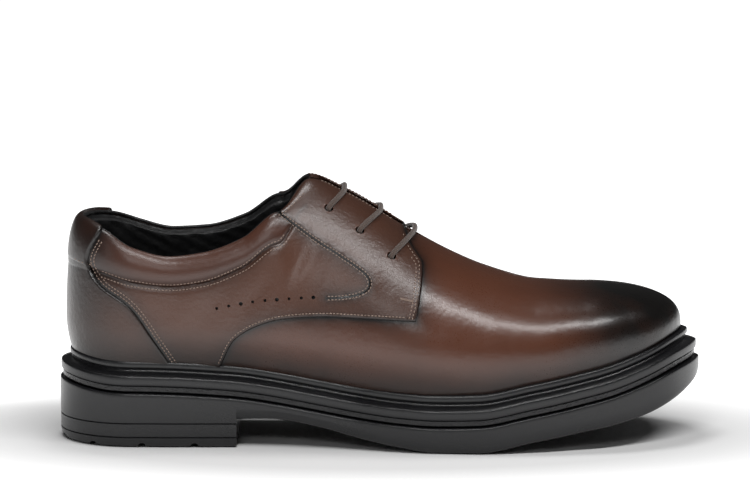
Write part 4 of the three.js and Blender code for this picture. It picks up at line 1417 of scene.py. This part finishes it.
def stitchSpots(row):
    found = []
    line = evenly(besides(row["line"], row["offset"]), stitch["pitch"])
    for side in row["sides"]:
        hits = [skinSpot(x, z, side) for x, z in line]
        for (start, normalA), (end, normalB) in zip(hits[:-1], hits[1:]):
            if start is not None and end is not None and 0.5 < (end - start).length < 3 * stitch["pitch"]:
                found.append(((start + end) / 2, end - start, (normalA + normalB).normalized()))
    return found


# Stitches beside the slot, found from above
throatSeam = {"offset": 2, "from": 17, "to": -4}


def throatSpots():
    found = []
    for side in (-1, 1):
        rearY = side * (shoe["throatGap"] / 2 + throatSeam["offset"])
        frontY = side * (slotRadius + throatSeam["offset"])
        line = np.array([[slotRear + throatSeam["from"], shoe["throatOffset"] + rearY],
                         [slotCentre + throatSeam["to"], shoe["throatOffset"] + frontY]])
        line = evenly(line, stitch["pitch"])
        hits = [skinTree.ray_cast(Vector((x, y, 300)), Vector((0, 0, -1))) for x, y in line]
        for (start, normalA, *_), (end, normalB, *_) in zip(hits[:-1], hits[1:]):
            if start is not None and end is not None and (end - start).length < 3 * stitch["pitch"]:
                normal = (normalA + normalB).normalized()
                found.append(((start + end) / 2, end - start, normal if normal.z > 0 else -normal))
    return found


allSpots = throatSpots()
for row in stitchRows:
    allSpots += stitchSpots(row)

# Bar tack at the front of each facing
tack = {"from": (9.4, 71.2), "to": (15.0, 69.9), "pitch": 0.5}
for side in (-1, 1):
    line = evenly(np.array([tack["from"], tack["to"]]), tack["pitch"])
    for x, z in line:
        hit, normal = skinSpot(x, z, side)
        allSpots.append((hit, Vector((0.1, 0, 1)), normal))
layStitches("seam_stitches", allSpots)
print("stitches ready:", len(allSpots))

# Camera, at the photo's angle: from the outer side, a little above
view = {"distance": 1.8, "elevation": 8.5, "field": 0.3528, "acrossX": -0.0024, "height": 0.0922}
target = Vector((view["acrossX"], sideShift * mm, view["height"]))
tilt = math.radians(view["elevation"])
cameraData = bpy.data.cameras.new("camera")
cameraData.sensor_width = 36
cameraData.lens = 36 * view["distance"] / view["field"]
camera = bpy.data.objects.new("camera", cameraData)
bpy.context.collection.objects.link(camera)
camera.location = target + Vector((0, -math.cos(tilt), math.sin(tilt))) * view["distance"]
camera.rotation_euler = (math.pi / 2 - tilt, 0, 0)
bpy.context.scene.camera = camera

# Soft studio light, and a floor that glows white away from the shoe; round the shoe its glow fades out, a
# painted shadow
studio = {
    "key": {"place": (0.35, -0.75, 1.35), "size": (1.7, 0.1), "power": 18},
    "overhead": {"place": (-0.15, 0.2, 1.4), "size": (0.6, 0.3), "power": 7},
    "front": {"place": (-0.25, -1.7, 0.9), "size": (0.5, 0.3), "power": 3},
    "left": {"place": (-1.2, -1.0, 0.6), "size": (0.2, 0.7), "power": 0.6},
}
for name, lamp in studio.items():
    light = bpy.data.lights.new(name, "AREA")
    light.shape = "RECTANGLE"
    light.size, light.size_y = lamp["size"]
    light.energy = lamp["power"]
    holder = bpy.data.objects.new(name, light)
    bpy.context.collection.objects.link(holder)
    holder.location = lamp["place"]
    aim = Vector((0, 0, 0.05)) - Vector(lamp["place"])
    holder.rotation_euler = aim.to_track_quat("-Z", "Y").to_euler()

world = bpy.data.worlds.new("studio")
world.use_nodes = True
world.node_tree.nodes["Background"].inputs["Color"].default_value = (1, 1, 1, 1)
world.node_tree.nodes["Background"].inputs["Strength"].default_value = 0.04
bpy.context.scene.world = world
bpy.context.scene.view_settings.view_transform = "Standard"

bpy.ops.object.select_all(action="DESELECT")
bpy.ops.mesh.primitive_plane_add(size=16, location=(0, 3, -0.0003))
floor = bpy.context.active_object
floor.name = "floor"
bpy.ops.object.transform_apply(location=True, rotation=True, scale=True)
# Painted shadow on the floor: its glow is off within this ellipse round the shoe and fades in beyond it
floorPaintedShadow = {"halfLength": 0.19, "halfWidth": 0.1, "from": 0.7, "to": 2.6}
floorShader = Shader("glowing_floor_painted_shadow")
floorPlace = floorShader.place()
split = floorShader.node("ShaderNodeSeparateXYZ", Vector=floorPlace)
lengthwise = floorShader.value(split, 0) * (1 / floorPaintedShadow["halfLength"])
sideways = floorShader.value(split, 1) * (1 / floorPaintedShadow["halfWidth"])
distance = (lengthwise ** 2.0 + sideways ** 2.0).between(floorPaintedShadow["from"], floorPaintedShadow["to"])
floorShader.set("Base Color", (0.8, 0.8, 0.8, 1))
floorShader.set("Roughness", 0.85)
# Emission: none near the shoe, a painted shadow; full white glow farther out
floorShader.set("Emission Color", floorShader.mixColour(distance, (0, 0, 0, 1), (1, 1, 1, 1)))
floorShader.set("Emission Strength", 1.0)
floor.data.materials.append(floorShader.material)
print("camera, light and floor ready")
